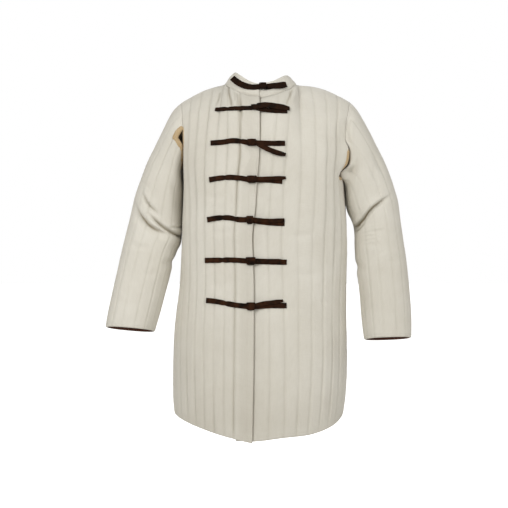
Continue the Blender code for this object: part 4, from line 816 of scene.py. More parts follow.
sleeveForm = {
    # of each ring in mm: outer x and z, inner x and z, middle depth, half depth; forward tilt
    "rings": {
        "right": (
            (-217, -50.5, -222, -238, 0, 82, 0),
            (-242, -78, -218, -256, 1, 86, 0),
            (-266.5, -124, -214, -274, 2, 86, 0),
            (-288, -168, -211.2, -294, 3, 84, 0),
            (-309.5, -212, -211.2, -316, 3, 81, 0),
            (-326.5, -256, -212.4, -342, 2, 78, 0),
            (-339.5, -292, -213.2, -368, 1, 76, 0),
            (-348, -322, -214, -391, 0, 74, 0.02),
            (-354, -350, -214.8, -409, -2, 73, 0.04),
            (-359, -376, -215.6, -424, -5, 73, 0.07),
            (-365, -404, -219, -439, -8, 72, 0.11),
            (-371, -434, -229, -458, -13, 71, 0.15),
            (-378.5, -470, -238, -484, -20, 69, 0.19),
            (-388, -514, -245.5, -522, -29, 67, 0.22),
            (-398.5, -562, -256.2, -568, -40, 64, 0.24),
            (-407.5, -610, -268, -618, -50, 62, 0.25),
            (-416, -661.8, -283, -673.8, -58, 60, 0.16),
        ),
        "left": (
            (245, -46.5, 234, -274, 0, 82, 0),
            (268, -73, 233, -286, 1, 86, 0),
            (297, -124, 233.5, -300, 2, 86, 0),
            (319, -168, 234.5, -316, 3, 84, 0),
            (341, -212, 236.5, -333, 3, 81, 0),
            (358.5, -256, 242, -352, 2, 78, 0),
            (369.5, -290, 250.5, -370, 1, 76, 0),
            (378, -320, 256.5, -386, 0, 74, 0.02),
            (382, -348, 259, -401, -2, 73, 0.04),
            (385, -376, 260, -417, -5, 73, 0.07),
            (389, -406, 260, -436, -8, 72, 0.11),
            (393, -438, 261, -460, -13, 71, 0.15),
            (398, -476, 263.5, -491, -20, 69, 0.19),
            (401.5, -522, 266.5, -531, -29, 67, 0.22),
            (404.5, -572, 270, -579, -40, 64, 0.24),
            (407, -628, 273.5, -633, -50, 62, 0.25),
            (406, -690.8, 280, -694.8, -60, 59, 0.16),
        ),
    },
    "roundness": 2.25,
    "blend": (1.0, 0.62, 0.28, 0.08),   # how much the first rings follow the armhole
    "fine": 8, "bend": (5, 12),         # fine rows in one coarse ring, twice as many at the elbow
    "edgeRows": (0.07, 0.04, 0.018, 0.006),   # extra rows by the cuff's turned edge
    "turn": (-0.01, 0.03),            # over this depth past its middle a crease comes in
    # the facing strip is the dark russet painted shade inside the cuff
    "facing": 0.022,                    # width of the strip that faces the cuff inside
    # where the sleeve sinks behind the front's free edge: middle, half sizes, depth, its start
    "dents": {"right": ((-0.235, -0.236), (0.02, 0.03), 0.004),
              "left": ((0.233, -0.238), (0.022, 0.032), 0.02)},
    "dentStart": (0.008, 0.028),
}
collarForm = {
    "rows": 4, "fine": 5, "bow": 0.0025,
    "lap": 0.012, "lapShares": (0.2, 0.55, 1.0), "lapColumns": 10,
    "seamDepth": 0.0009, "middleDepth": 0.0016, "rimDepth": 0.0028,
    "ease": 0.0002, "thin": 0.0036,     # how much thinner the wall gets toward the rim
    "gather": (0.001, 0.012, 0.03), "slow": (0.0008, 0.05, 0.02),   # height, sizes
    "edgeRows": (0.28, 0.11, 0.04), "rimStitch": 0.007, "seamStitch": 0.004,
    "beyond": (0.8, 1.6, 0.0015),       # rows below and above it for the straps, and their depth
}


def joinNormals(*sides):
    # Sewn edges share one wall direction: the unit sum of theirs.
    total = unit(sum(normal[rows, columns] for normal, rows, columns in sides))
    for normal, rows, columns in sides:
        normal[rows, columns] = total


def stepBack(panel, rows, columns, insideRows, insideColumns, distance):
    # Moves an edge into its piece, square to the edge and along the cloth.
    grid, normal = panel["grid"], panel["normal"]
    points = grid[rows, columns]
    square = unit(np.cross(np.gradient(points, axis=0), normal[rows, columns]))
    toward = grid[insideRows, insideColumns] - points
    square = square * np.where((square * toward).sum(-1, keepdims=True) < 0, -1.0, 1.0)
    grid[rows, columns] = points + square * distance


def sleeveRings(side):
    # The table's rings with their lengths in metres.
    return np.array(sleeveForm["rings"][side]) / ((1000,) * 6 + (1,))


def sleeveGrid(side):
    # Rings from the armhole to the cuff: a superellipse in a slanted plane, the first ones
    # drawn to the armhole's own line.
    places = ringPlaces()
    slit = armholeForm["slit"][side]
    inside = (places > slit[0][0]) & (places < slit[-1][0])
    edge = armholeRing(side) + np.where(inside[:, None], curveThrough(slit, places), 0.0)
    edge[:, 0] += armholeSwell(side)
    turn = places / ringChannels * 2 * np.pi
    power = 2 / sleeveForm["roundness"]
    up, forward = bent(np.cos(turn), power), bent(np.sin(turn), power)
    rings = sleeveRings(side)
    outerX, outerZ, innerX, innerZ, middle, half, tilt = rings.T[:, :, None]
    grid = np.stack([(outerX + innerX) / 2 + up * (outerX - innerX) / 2, middle - forward * half,
                     (outerZ + innerZ) / 2 + up * (outerZ - innerZ) / 2 + tilt * forward * half],
                    axis=-1)
    weight = np.zeros(len(rings))
    weight[:len(sleeveForm["blend"])] = sleeveForm["blend"]
    return grid + weight[:, None, None] * (edge - grid[0])


def collarGrid(body):
    # A band from the neckline's points up to the rim's, bowed outward a little.
    q, c = quilting, collarForm
    right, left, back = (body[name] for name in ("front_right", "front_left", "back"))
    middle, reach = back["middle"], back["neck"]
    runs = (("right", "front", right["grid"], np.arange(right["neck"] + 1)),
            ("right", "back", back["grid"], middle - np.arange(reach - 1, -1, -1)),
            ("left", "back", back["grid"], middle + np.arange(1, reach + 1)),
            ("left", "front", left["whole"], np.arange(left["neck"] - 1, 2, -1)))
    bottom = np.concatenate([grid[0, columns] for _, _, grid, columns in runs])
    tops = []
    for side, face, grid, columns in runs:
        x = grid[0, columns, 0]
        share = np.arcsin(np.minimum(np.abs(x / neckForm["seam"]["side"][side][0]), 1)) * 2 / np.pi
        share = np.where(x * sideSign[side] < 0, -share, share)
        tops.append(neckPoints(side, face, share, neckForm["rim"]))
    top = np.concatenate(tops)
    top[0, 0], top[-1, 0] = bottom[0, 0], bottom[-1, 0]
    level = np.linspace(0.0, 1.0, c["rows"] + 1)[:, None, None]
    grid = bottom[None] * (1 - level) + top[None] * level
    outward = unit((grid - grid.mean(axis=1, keepdims=True)) * (1, 1, 0))
    grid = grid + outward * c["bow"] * np.sin(np.pi * level)
    cells = np.ones((c["rows"], grid.shape[1] - 1), bool)
    normal = gridNormals(grid, cells)
    normal = normal * (-1 if np.sum(normal * outward) < 0 else 1)
    plain = grid.copy()
    reach = c["lapColumns"]
    panelDrop = (left["grid"] - left["whole"])[0, 3:3 + reach]
    amount = lapAmount(bottom[::-1][:reach, 0] - openingX(torsoForm["opening"][0][0]))
    rimDrop = np.stack([0 * amount, q["lapDrop"] * amount, 0 * amount], axis=-1)
    grid[:, ::-1][:, :reach] += panelDrop * (1 - level) + rimDrop * level
    grid[1:, -3:, 0] -= c["lap"] * np.array(c["lapShares"])
    runs = [(columns, name) for (_, _, _, columns), name in
            zip(runs, ("front_right", "back", "back", "front_left"))]
    return {"grid": grid, "normal": normal, "cells": cells, "plain": plain, "runs": runs}


def sewTogether(body, sleeves, collar):
    # Shared wall directions along every seam, then a hair of air between the sewn edges.
    q = quilting
    upper, count = q["upperRows"], q["upperRows"] + q["lowerRows"] + 1
    right, left, back = (body[name] for name in ("front_right", "front_left", "back"))
    rows = np.arange(upper, count)
    lastBack = back["grid"].shape[1] - 1
    joinNormals((right["normal"], rows, -1), (back["normal"], rows, 0))
    joinNormals((left["normal"], rows, -1), (back["normal"], rows, lastBack))
    step = np.arange(3 * q["shoulderChannels"] + 1)
    joinNormals((right["normal"], 0, right["neck"] + step),
                (back["normal"], 0, back["middle"] - back["neck"] - step))
    joinNormals((left["normal"], 0, left["neck"] + step),
                (back["normal"], 0, back["middle"] + back["neck"] + step))
    first = 0
    for columns, name in collar["runs"]:
        joinNormals((collar["normal"], 0, first + np.arange(len(columns))),
                    (body[name]["normal"], 0, columns))
        first += len(columns)
    ringCount = len(ringPlaces())
    half = ringCount // 2
    index = np.arange(ringCount)
    for side, sleeve in sleeves.items():
        slit = armholeForm["slit"][side]
        sewn = (ringPlaces() <= slit[0][0] + 0.01) | (ringPlaces() >= slit[-1][0] - 0.01)
        front, frontRows, frontColumns, _, _ = armholePath(body, side, "front")
        _, backRows, backColumns, _, _ = armholePath(body, side, "back")
        behind = np.concatenate([[0], np.arange(half, ringCount)])
        match = (ringCount - behind) % ringCount
        total = np.zeros((ringCount, 3))
        total[:half + 1] += front["normal"][frontRows, frontColumns]
        total[behind] += back["normal"][backRows[match], backColumns[match]]
        total[sewn] += sleeve["normal"][0, index[sewn]]
        total = unit(total)
        front["normal"][frontRows, frontColumns] = total[:half + 1]
        back["normal"][backRows[match], backColumns[match]] = total[behind]
        sleeve["normal"][0, index[sewn]] = total[sewn]
    gap = armholeForm["gap"]
    for panel, column, inner in ((right, -1, -2), (left, -1, -2), (back, 0, 1), (back, -1, -2)):
        stepBack(panel, rows, column, rows, inner, gap)
    for panel, low, high in ((right, 0, right["corner"]), (left, 0, left["corner"]),
                             (back, back["middle"] - back["corner"],
                              back["middle"] + back["corner"])):
        columns = np.arange(low, high + 1)
        stepBack(panel, 0, columns, 1, columns, gap)
    columns = np.arange(collar["grid"].shape[1])
    stepBack(collar, 0, columns, 1, columns, gap + collarForm["ease"])
    for side, sleeve in sleeves.items():
        for face in ("front", "back"):
            panel, *path = armholePath(body, side, face)
            stepBack(panel, *path, gap)
        stepBack(sleeve, 0, index, 1, index, gap)


def refine(values, rowsAt, columnsAt, rowBreak=None, corners=(), wrap=False):
    # Catmull-Rom along the columns, then along the rows. Columns that begin at the armhole
    # start afresh at rowBreak, and rows above it end at the corners.
    full = fillOut(values)
    tall = np.einsum("ij,jkx->ikx", lineWeights(full.shape[0], rowsAt), full)
    if rowBreak is not None:
        broken = np.einsum("ij,jkx->ikx", lineWeights(full.shape[0], rowsAt, (rowBreak,)), full)
        tall = np.where(~np.isfinite(values[0, :, 0])[None, :, None], broken, tall)
    wide = np.einsum("ij,kjx->kix", lineWeights(full.shape[1], columnsAt, (), wrap), tall)
    if corners:
        cut = np.einsum("ij,kjx->kix", lineWeights(full.shape[1], columnsAt, corners), tall)
        wide[rowsAt < rowBreak] = cut[rowsAt < rowBreak]
    return wide


def lineDistance(flat, line, samples=28):
    # Distance from flat places to a smooth line through points, and the share along it.
    points = np.array(line, float)
    along = arcs(points, 0)
    track = curveThrough(np.column_stack([along / along[-1], points]), np.linspace(0, 1, samples))
    start, step = track[:-1], np.diff(track, axis=0)
    share = ((flat[..., None, :] - start) * step).sum(-1) / (step ** 2).sum(-1)
    share = np.clip(share, 0, 1)
    away = flat[..., None, :] - start - share[..., None] * step
    gap = np.linalg.norm(away, axis=-1)
    gap = gap * np.sign(step[:, 0] * away[..., 1] - step[:, 1] * away[..., 0] + 1e-15)
    nearest = np.abs(gap).argmin(-1)[..., None]
    place = (nearest + np.take_along_axis(share, nearest, -1)) / (samples - 1)
    return np.take_along_axis(gap, nearest, -1)[..., 0], place[..., 0]


foldForm = {
    "creaseTaper": (0.35, 0.6), "ridgeAt": 1.9,     # shares along the line; in widths
    # coreWidth and the depth below set the painted shade in a fold's bottom
    "foldTaper": (0.4, 0.55), "rollAt": 3.2, "rollWidth": 2.4, "coreWidth": 0.8,   # sharp widths
    "fullShadeDepth": 0.012,                 # a fold this deep has the darkest bottom
}


def endTaper(place, ends, shares):
    # Rises from 0 to 1 up to the first share of a line, falls past the second; open ends stay 1.
    openStart, openEnd = ends or (False, False)
    return (np.where(openStart, 1.0, smoothStep(0.0, shares[0], place))
            * np.where(openEnd, 1.0, 1 - smoothStep(shares[1], 1.0, place)))


def creaseDepth(flat, creases):
    # Sum of soft troughs: depth * taper * (exp(-(d/w)^2) - ridge * exp(-((d - 1.9w)/w)^2)),
    # where d is the distance to the crease's line.
    depth = np.zeros(flat.shape[:-1])
    for line, deep, width, ridge, *ends in creases:
        gap, place = lineDistance(flat, metres(line))
        gap, deep, width = np.abs(gap), metres(deep), metres(width)
        depth += deep * endTaper(place, ends, foldForm["creaseTaper"]) * (
            np.exp(-(gap / width) ** 2)
            - ridge * np.exp(-((gap - foldForm["ridgeAt"] * width) / width) ** 2))
    return depth


def foldDepth(flat, folds):
    # Folds that hang over: sharp on the left of the line's direction, where a roll stands, and
    # broad on its right: deep * exp(-(d/w)^2) - roll * exp(-((d - 3.2 sharp)/(2.4 sharp))^2).
    # The second result, 0..1, is the painted shade for the fold's bottom.
    f = foldForm
    depth, core = np.zeros(flat.shape[:-1]), np.zeros(flat.shape[:-1])
    for line, *sizes in folds:
        deep, sharp, broad, roll = metres(tuple(sizes[:4]))
        gap, place = lineDistance(flat, metres(line))
        taper = endTaper(place, sizes[4:], f["foldTaper"])
        width = np.where(gap > 0, sharp, broad)
        depth += taper * (deep * np.exp(-(gap / width) ** 2) - roll * np.exp(
            -((gap - f["rollAt"] * sharp) / (f["rollWidth"] * sharp)) ** 2))
        core += taper ** 2 * min(deep / f["fullShadeDepth"], 1.0) * np.exp(
            -(gap / (f["coreWidth"] * sharp)) ** 2)
    return depth, np.minimum(core, 1.0)


def wallFaces(grid, normal, outer, inner, edgeDistance, sink):
    # The two faces, offset along the wall direction; at a free edge the half thickness
    # follows a quarter ellipse down to a third, which turns the edge round.
    outer, inner = outer - sink, inner - quilting["sinkInside"] * sink
    middle, half = (outer + inner) / 2, (outer - inner) / 2
    share = np.clip(edgeDistance / (2.0 * quilting["rim"]), 0, 1)
    half = half * (0.3 + 0.7 * np.sqrt(1 - (1 - share) ** 2))
    return [grid + normal * offset[..., None] for offset in (middle + half, middle - half)]
collarFold = (((-76, -4), (-66, -20), (-42, -36), (-6, -47), (31, -46), (64, -40), (86, -22)),
 1.3, 5.6, 0.3, True, True)
creases = {
    # line of (sideways, height) places, depth, width, in mm; ridge share; open start and end
    "collar": (
        collarFold,
        (((-50, -20), (-48, -40)), 1.4, 4, 0.3, False, True),
    ),
    "front_right": (
        collarFold,
        (((-155, -50), (-142, -85), (-138, -130)), 1.8, 8, 0.3),
        (((-60, -395), (-95, -410), (-140, -402)), 1.6, 9, 0.35),
        (((-50, -520), (-100, -545), (-150, -540)), 1.4, 11, 0.35),
        (((-46, -615), (-40, -720), (-42, -860)), 1.8, 7, 0.3),
        (((-75, -300), (-110, -318), (-150, -306)), 1.4, 8, 0.35),
        (((-120, -640), (-118, -740), (-124, -830)), 1.4, 8, 0.3),
    ),
    "front_left": (
        collarFold,
        (((100, -30), (102, -70), (98, -110)), 1.8, 7, 0.3),
        (((25, -640), (35, -700), (30, -790)), 2.2, 8, 0.35),
        (((48, -620), (44, -680), (60, -760)), 1.4, 8, 0.35),
        (((60, -405), (100, -418), (150, -408)), 1.5, 9, 0.35),
        (((70, -500), (120, -520), (170, -508)), 1.3, 11, 0.35),
        (((190, -640), (208, -700), (212, -760)), 2, 11, 0.35),
        (((130, -560), (162, -590), (195, -590)), 1.4, 9, 0.35),
    ),
    "back": (
        (((-90, -20), (-98, -60), (-96, -100)), 2.6, 6, 0.35, True, False),
        (((85, -20), (95, -60), (93, -110)), 2.4, 6, 0.35, True, False),
        (((-150, -380), (-60, -402), (30, -392)), 1.8, 10, 0.35),
        (((-30, -440), (70, -452), (150, -436)), 1.6, 11, 0.35),
        (((-160, -520), (-90, -536), (-20, -524)), 1.3, 10, 0.35),
        (((-50, -620), (-46, -740), (-52, -860)), 1.8, 9, 0.3),
        (((90, -600), (96, -700), (93, -820)), 1.6, 9, 0.3),
        (((-190, -600), (-200, -700), (-204, -780)), 2.4, 11, 0.35),
    ),
}

gathers = {
    # pleats under the collar, as the sleeves' folds, and how strongly their bottom is painted with
    # shade
    "front_right": (
        (((-108.5, -26), (-110.2, -40), (-116.5, -64), (-119, -84)),
         3.4, 2.6, 7, 1.2, True, False),
        (((-86, -14), (-84.5, -30), (-80, -52), (-76, -78), (-74.5, -94)),
         5.2, 2.8, 8, 2, True, False),
        (((-53, -36), (-51.8, -52), (-50.2, -78), (-47.7, -110), (-47.5, -135)),
         4.2, 2.6, 5, 1, True, False),
        (((-69, -30), (-67, -52), (-69, -72)), 1.6, 2.6, 5, 0.8, True, False),
    ),
    "front_left": (
        (((85, -24), (80, -40), (73.5, -56), (71.8, -74), (71.2, -88)),
         3.4, 2.8, 6, 2.4, True, False),
    ),
    "shade": 1.7,
}

sleeveFolds = {
    # line (the upper arm on its left), depth, sharp and broad width, roll, in mm; open ends
    "right": (
        (((-341, -310), (-332, -345), (-310, -375), (-283, -397), (-253, -410), (-223, -420)),
         11, 4.2, 15, 3.6),
        (((-314, -285), (-313, -305), (-302, -328), (-281, -350), (-264, -370)), 6, 3, 6, 2.2),
        (((-310, -348), (-293, -362), (-272, -382), (-250, -398.5), (-233, -408), (-210, -419)),
         9, 3.2, 5.5, 2.6, False, True),
    ),
    "left": (
        (((256, -394), (274, -373), (292, -349), (317, -328), (357, -303)),
         12, 2.8, 8, 3, True, False),
        (((259, -404), (270, -391), (281, -374)), 5, 2.6, 5, 1.6, True, False),
    ),
}
sleeveCreases = {
    # as on the body: on the front of a sleeve, on its back, all round
    "right": (
        (
            (((-248, -394.5), (-230, -394), (-210, -392)), 2.6, 3.4, 0.35, False, True),
            (((-330, -515), (-300, -520), (-260, -512)), 1.6, 8, 0.4),
            (((-360, -430), (-325, -446), (-280, -450)), 2, 8, 0.4),
            (((-240, -250), (-226, -310), (-222, -370)), 3, 10, 0.3),
            (((-395, -585), (-350, -598), (-300, -592)), 1, 8, 0.4),
        ),
        (
            (((-340, -330), (-300, -350), (-250, -380)), 4, 10, 0.4),
            (((-360, -400), (-310, -420), (-250, -430)), 3, 10, 0.4),
            (((-290, -190), (-260, -230), (-230, -270)), 3, 11, 0.35),
            (((-390, -560), (-330, -575), (-290, -570)), 1.8, 9, 0.4),
        ),
        (
            (((-220, -486), (-238, -486), (-266, -492)), 2.6, 9, 0.4, True, False),
        ),
    ),
    "left": (
        (
            (((335, -396), (315, -404), (285, -400)), 1.2, 6, 0.45),
            (((330, -436), (305, -444), (280, -438)), 1.2, 6.2, 0.45),
            (((248, -85), (234, -118), (233, -152), (250, -186)), 4.5, 6, 0.45),
            (((302, -190), (318, -225), (342, -262)), 2.2, 7.5, 0.4),
            (((290, -225), (310, -262), (330, -286)), 1.8, 6.5, 0.4),
            (((390, -470), (350, -486), (300, -480)), 1.4, 8, 0.4),
            (((395, -610), (350, -622), (300, -616)), 1, 8, 0.4),
        ),
        (
            (((360, -320), (320, -345), (270, -370)), 4.2, 10, 0.4),
            (((380, -390), (330, -410), (280, -420)), 3, 10, 0.4),
            (((310, -180), (280, -220), (250, -260)), 3, 11, 0.35),
            (((395, -570), (350, -585), (300, -580)), 1.8, 9, 0.4),
        ),
        (
            (((250, -500), (262, -500), (285, -496)), 3, 11, 0.3, True, False),
        ),
    ),
}

ripples = {
    # middle, half sizes and wave length in mm, slope of the waves, height in mm
    "front_right": (((-130, -330), (30, 40), 15, 0.6, 0.4),),
    "front_left": (((53, -725), (13, 70), 13, -0.9, 1.1),
                   ((150, -640), (30, 60), 16, -0.7, 0.5)),
    "back": (((-60, -700), (14, 70), 14, 0.9, 0.9), ((120, -330), (30, 50), 16, 0.7, 0.7)),
    "sleeve_right": (((-300, -240), (24, 50), 15, -0.9, 0.7),),
    "sleeve_left": (((305, -232), (22, 52), 14, 0.9, 1.2),
                    ((298, -414), (24, 28), 12, 0.2, 0.5),
                    ((330, -500), (30, 50), 15, 0.5, 0.5)),
}
shadePatchTable = (
    # painted shade: soft darker patches on the right chest, toward the hem and on the left sleeve:
    # middle and half sizes in mm, share
    ((-140, -150), (90, 130), 0.09), ((-110, -700), (110, 100), 0.07),
    ((-100, -900), (150, 90), 0.17), ((100, -920), (100, 70), 0.09),
    ((350, -520), (60, 160), 0.11),
)


def shadePatchSum(flat):
    # Sum of soft spots of painted shade: share * exp(-(x/a)^2 - (z/b)^2).
    total = np.zeros(flat.shape[:-1])
    for middle, half, share in shadePatchTable:
        away = (flat - np.array(metres(middle))) / np.array(metres(half))
        total += share * np.exp(-(away ** 2).sum(-1))
    return total


def rippleHeight(flat, patches):
    # Sum of short slanted waves, each faded by a Gaussian round its middle.
    total = np.zeros(flat.shape[:-1])
    for middle, half, wave, slope, height in patches:
        (middleX, middleZ), (halfX, halfZ), wave, height = metres((middle, half, wave, height))
        x, z = flat[..., 0] - middleX, flat[..., 1] - middleZ
        fade = np.exp(-(x / halfX) ** 2 - (z / halfZ) ** 2)
        bend = 0.35 * np.sin(z / (halfZ * 0.45))
        total += height * fade * np.sin(2 * np.pi * (z - slope * x) / wave + 2 * bend)
    return total


puffForm = {
    # noises: share of the puff or height in metres, then size across and along the cloth
    "fill": (0.2, None, 0.07), "line": (0.38, None, 0.12), "lumps": (0.08, 0.02, 0.018),
    "pucker": (0.18, 0.011, 0.0085), "swell": (0.0012, 0.075, 0.11),
    "streak": (0.00055, 0.007, 0.22),
    "streakFrom": (0.4, 0.85),         # the streaks are stronger toward the hem
    "puckerAt": (0.005, 0.0042),       # distance from the stitching and width
    "ridge": (0.2, 0.0052, 0.003),    # height, distance from the stitching, width
    # shade: painted shade along the stitched line, its strength and width
    "thread": (0.0005, 0.0016), "shade": (0.13, 0.0032),    # along the stitched line: depth, width
}


def bump(distance, height, width):
    # height * exp(-(distance / width)^2)
    return height * np.exp(-(distance / width) ** 2)


def puffRelief(name, grid, columnsAt, seed, amount, side):
    # Height over the stitched lines: amount * puff, the fill uneven along each channel, a low
    # ridge beside one edge of it, small puckers by the stitching and a slow swell.
    p = puffForm
    place = channelPlace(columnsAt)
    share = np.maximum(place - np.floor(place + 1e-9), 0)
    across, down = arcs(grid, 1), arcs(grid, 0)
    width = np.gradient(across, axis=1) / np.maximum(np.gradient(place)[None, :], 1e-6)

    def noise(key, step, shift=0, at=None):
        height, wide, long = p[key]
        u = across / wide + shift if at is None else at[None, :] + 0 * down
        return height * softNoise(u, down / long, seed + step)

    fill = 1 + noise("fill", 0, at=(np.floor(place + 1e-9) + 0.5) * 3.7) + noise("lumps", 1)
    strength = 1 - p["line"][0] + noise("line", 5, at=np.round(place) * 2.3)
    edge = np.minimum(share, 1 - share)[None, :] * width
    near = share if side > 0 else 1 - share
    height, ridgeAt, ridgeWidth = p["ridge"]
    ridge = bump(near[None, :] * width - ridgeAt, height, ridgeWidth)
    puff = puffShape(share)[None, :] + ridge * puffShape(share)[None, :] ** 0.2
    relief = amount * (1 - strength * (1 - np.minimum(puff, 1.2))) * fill
    at, reach = p["puckerAt"]
    relief = relief + noise("pucker", 2, 20) * bump(edge - at, amount, reach)
    relief = relief + noise("swell", 3, 7) - strength * bump(edge, *p["thread"])
    relief = relief + noise("streak", 7, 3) * (0.3 + 0.7 * smoothStep(*p["streakFrom"], down))
    relief = relief + rippleHeight(grid[..., (0, 2)], ripples.get(name, ()))
    # the second result is the painted shade along the stitched lines
    return relief, bump(edge, *p["shade"]) * strength, across, down


placket = {
    # the upper front's plain strip beside the opening: share of a puff, its stitched line's
    # share, place and width, the channels over which it turns into quilting, its painted shade and
    # where that ends
    "level": 0.92, "line": (0.3, 0.0095, 0.0018), "turn": (1.35, 1.75), "shade": (0.09, 0.057),
    # the deep fold beside it: depth and width, the lip's height, place and width, the painted
    # shade in its bottom and that shade's width, how far its top leans and where that ends
    "fold": (0.0042, 0.0036), "lip": (0.0012, 0.0075, 0.005), "core": (0.55, 0.002),
    "lean": (0.0055, 0.05, 0.3), "shallow": (0.4, 0.2, 0.42), "hem": 0.03,
    # dot: painted shade at the opening's top, a dark spot where it meets the collar
    "dot": (0.9, 0.0024, 0.0015, -0.041),   # the opening's dark top: shade, size, place, height
    # air over the under front: wall left out, and the distances over which it comes back
    "clear": (0.0044, 0.04, 0.054), "levelInside": (0.038, 0.048),
}
underLap = {
    "lapFrom": 0.004, "level": (0.9, 0.0007),   # share of a puff and the air over it
    "tuck": (0.0026, -0.014, -0.002),           # depth where hidden, and where it comes up
    # shade and shadeAt: the painted shadow on the under front along the upper front's edge
    "shade": (0.8, 0.45, 0.42, 0.62),          # beside the opening: share, its loss lower down
    "shadeAt": (0.0003, 0.0017),
}


def finePanel(name, panel, seed):
    # A body panel's fine wall: its two faces, cells, dark grooves and stitched seams.
    q = quilting
    amount = q["puff"]["body"]
    channels = (panel["grid"].shape[1] - 1) // 3
    rowsAt, columnsAt = fineRows(), fineColumns(channels, q["perStep"])
    upper, perChannel = q["upperRows"], 3 * q["perStep"]
    isBack = "middle" in panel
    corners = ((panel["middle"] - panel["corner"], panel["middle"] + panel["corner"])
               if isBack else (panel["corner"],))
    grid = refine(panel["grid"], rowsAt, columnsAt, upper, corners)
    normal = unit(refine(panel["normal"], rowsAt, columnsAt, upper, corners))
    middles = np.floor((rowsAt[:-1] + rowsAt[1:]) / 2).astype(int)
    sides = np.floor((columnsAt[:-1] + columnsAt[1:]) / 2).astype(int)
    cells = panel["cells"][np.ix_(middles, sides)]
    relief, groove, across, down = puffRelief(name, grid, columnsAt, seed, amount,
                                              -1 if name == "front_right" else 1)
    start = np.searchsorted(rowsAt, upper)
    beyond = columnsAt > corners[-1] + 1e-6
    if isBack:
        beyond = beyond | (columnsAt < corners[0] - 1e-6)
    top = np.where(beyond[None, :], down - down[start], down)
    hole = np.full_like(top, 1.0)
    for corner in corners:
        side = across[:start, corner * q["perStep"]][:, None]
        hole[:start] = np.minimum(hole[:start], np.abs(across[:start] - side))
    # along sewn seams the wall comes up flush with its neighbour
    fromMiddle = np.abs(columnsAt - panel["middle"]) if isBack else columnsAt
    isNeck = (fromMiddle <= panel["neck"] + 0.5)[None, :]
    seam = np.where(isNeck | (hole < top), q["flush"], q["flushArmhole"]) * amount
    calm = smoothStep(0, q["calm"], np.minimum(top, hole))
    hem = down[-1] - down
    relief = relief * calm + seam * (1 - calm)
    groove = groove * calm
    relief = relief * (q["hemSoftness"] + (1 - q["hemSoftness"]) * smoothStep(0, 0.03, hem))
    isFree = (rowsAt >= q["bareFrom"])[:, None] & (rowsAt < upper)[:, None]
    edge = np.minimum(hem, np.where(isFree, hole, 1.0))
    edge = np.minimum(edge, np.where(beyond[None, :], np.abs(top) + 0 * hem, 1.0))
    inner = np.full_like(relief, -(q["rise"] + q["wall"]))
    past = grid[..., 0] - openingX(grid[..., 2])
    if name == "front_right":
        f = placket
        share, at, width = f["line"]
        flat = amount * (f["level"] - bump(across - at, share, width))
        strip = 1 - smoothStep(*f["turn"], channelPlace(columnsAt))[None, :]
        relief = relief * (1 - strip) + (flat * calm + seam * (1 - calm)) * strip
        # painted shade over the plain strip, up to its end
        groove = groove * (1 - strip) + f["shade"][0] * strip * (across < f["shade"][1])
        place = (across - across[:, 2 * perChannel][:, None]
                 + f["lean"][0] * (1 - smoothStep(*f["lean"][1:], down)))
        deep = (calm * (1 - f["shallow"][0] * smoothStep(*f["shallow"][1:], down))
                * (0.25 + 0.75 * smoothStep(0.0, f["hem"], hem)))
        height, at, width = f["lip"]
        relief = relief - deep * (bump(place, *f["fold"]) - bump(place + at, height, width))
        # painted shade in the bottom of the fold beside the plain strip
        groove = groove + deep ** 2 * bump(place, *f["core"])
        inner = inner + f["clear"][0] * (1 - smoothStep(*f["clear"][1:], across))
        shade, width, at, height = f["dot"]
        # painted shade: a dark dot at the opening's top
        groove = groove + bump(np.hypot(across - at, grid[..., 2] - height), shade, width)
    if name == "front_left":
        f = underLap
        lap = lapAmount(past - f["lapFrom"])
        relief = relief * (1 - lap) + (f["level"][0] * amount - f["level"][1]) * lap
        relief = relief - f["tuck"][0] * (1 - smoothStep(*f["tuck"][1:], past))
        # painted shadow on the under front along the upper front's edge, weaker lower down
        share, loss, *low = f["shade"]
        shade = share - loss * smoothStep(*low, -grid[..., 2])
        groove = groove * (1 - lap) + shade * bump(past - f["shadeAt"][0], 1.0, f["shadeAt"][1])
    if not isBack:
        edge = np.minimum(edge, across)
    sink = creaseDepth(grid[..., (0, 2)], creases[name])
    pleats, core = foldDepth(grid[..., (0, 2)], gathers.get(name, ()))
    sink = (sink + pleats) * np.where(np.abs(normal[..., 1]) > 0.15, 1.0, 0.0)
    # painted shade in the bottoms of the pleats under the collar
    groove = np.minimum(groove + gathers["shade"] * core, 1)
    if name == "front_right":
        # over the under front the inner face stays level, however the outer one creases
        inner = inner + q["sinkInside"] * sink * (1 - smoothStep(*placket["levelInside"], across))
    outer, inner = wallFaces(grid, normal, relief - amount, inner, edge, sink)
    seams = []
    for column in range(perChannel, channels * perChannel, perChannel):
        first = start + 1 if beyond[column] else 4
        seams.append((outer[first:-2, column], normal[first:-2, column]))
    hemRow = int(np.argmin(np.abs(hem.mean(axis=1) - q["hemStitch"])))
    seams.append((outer[hemRow], normal[hemRow]))
    return {"outer": outer, "inner": inner, "cells": cells, "groove": groove, "seams": seams}


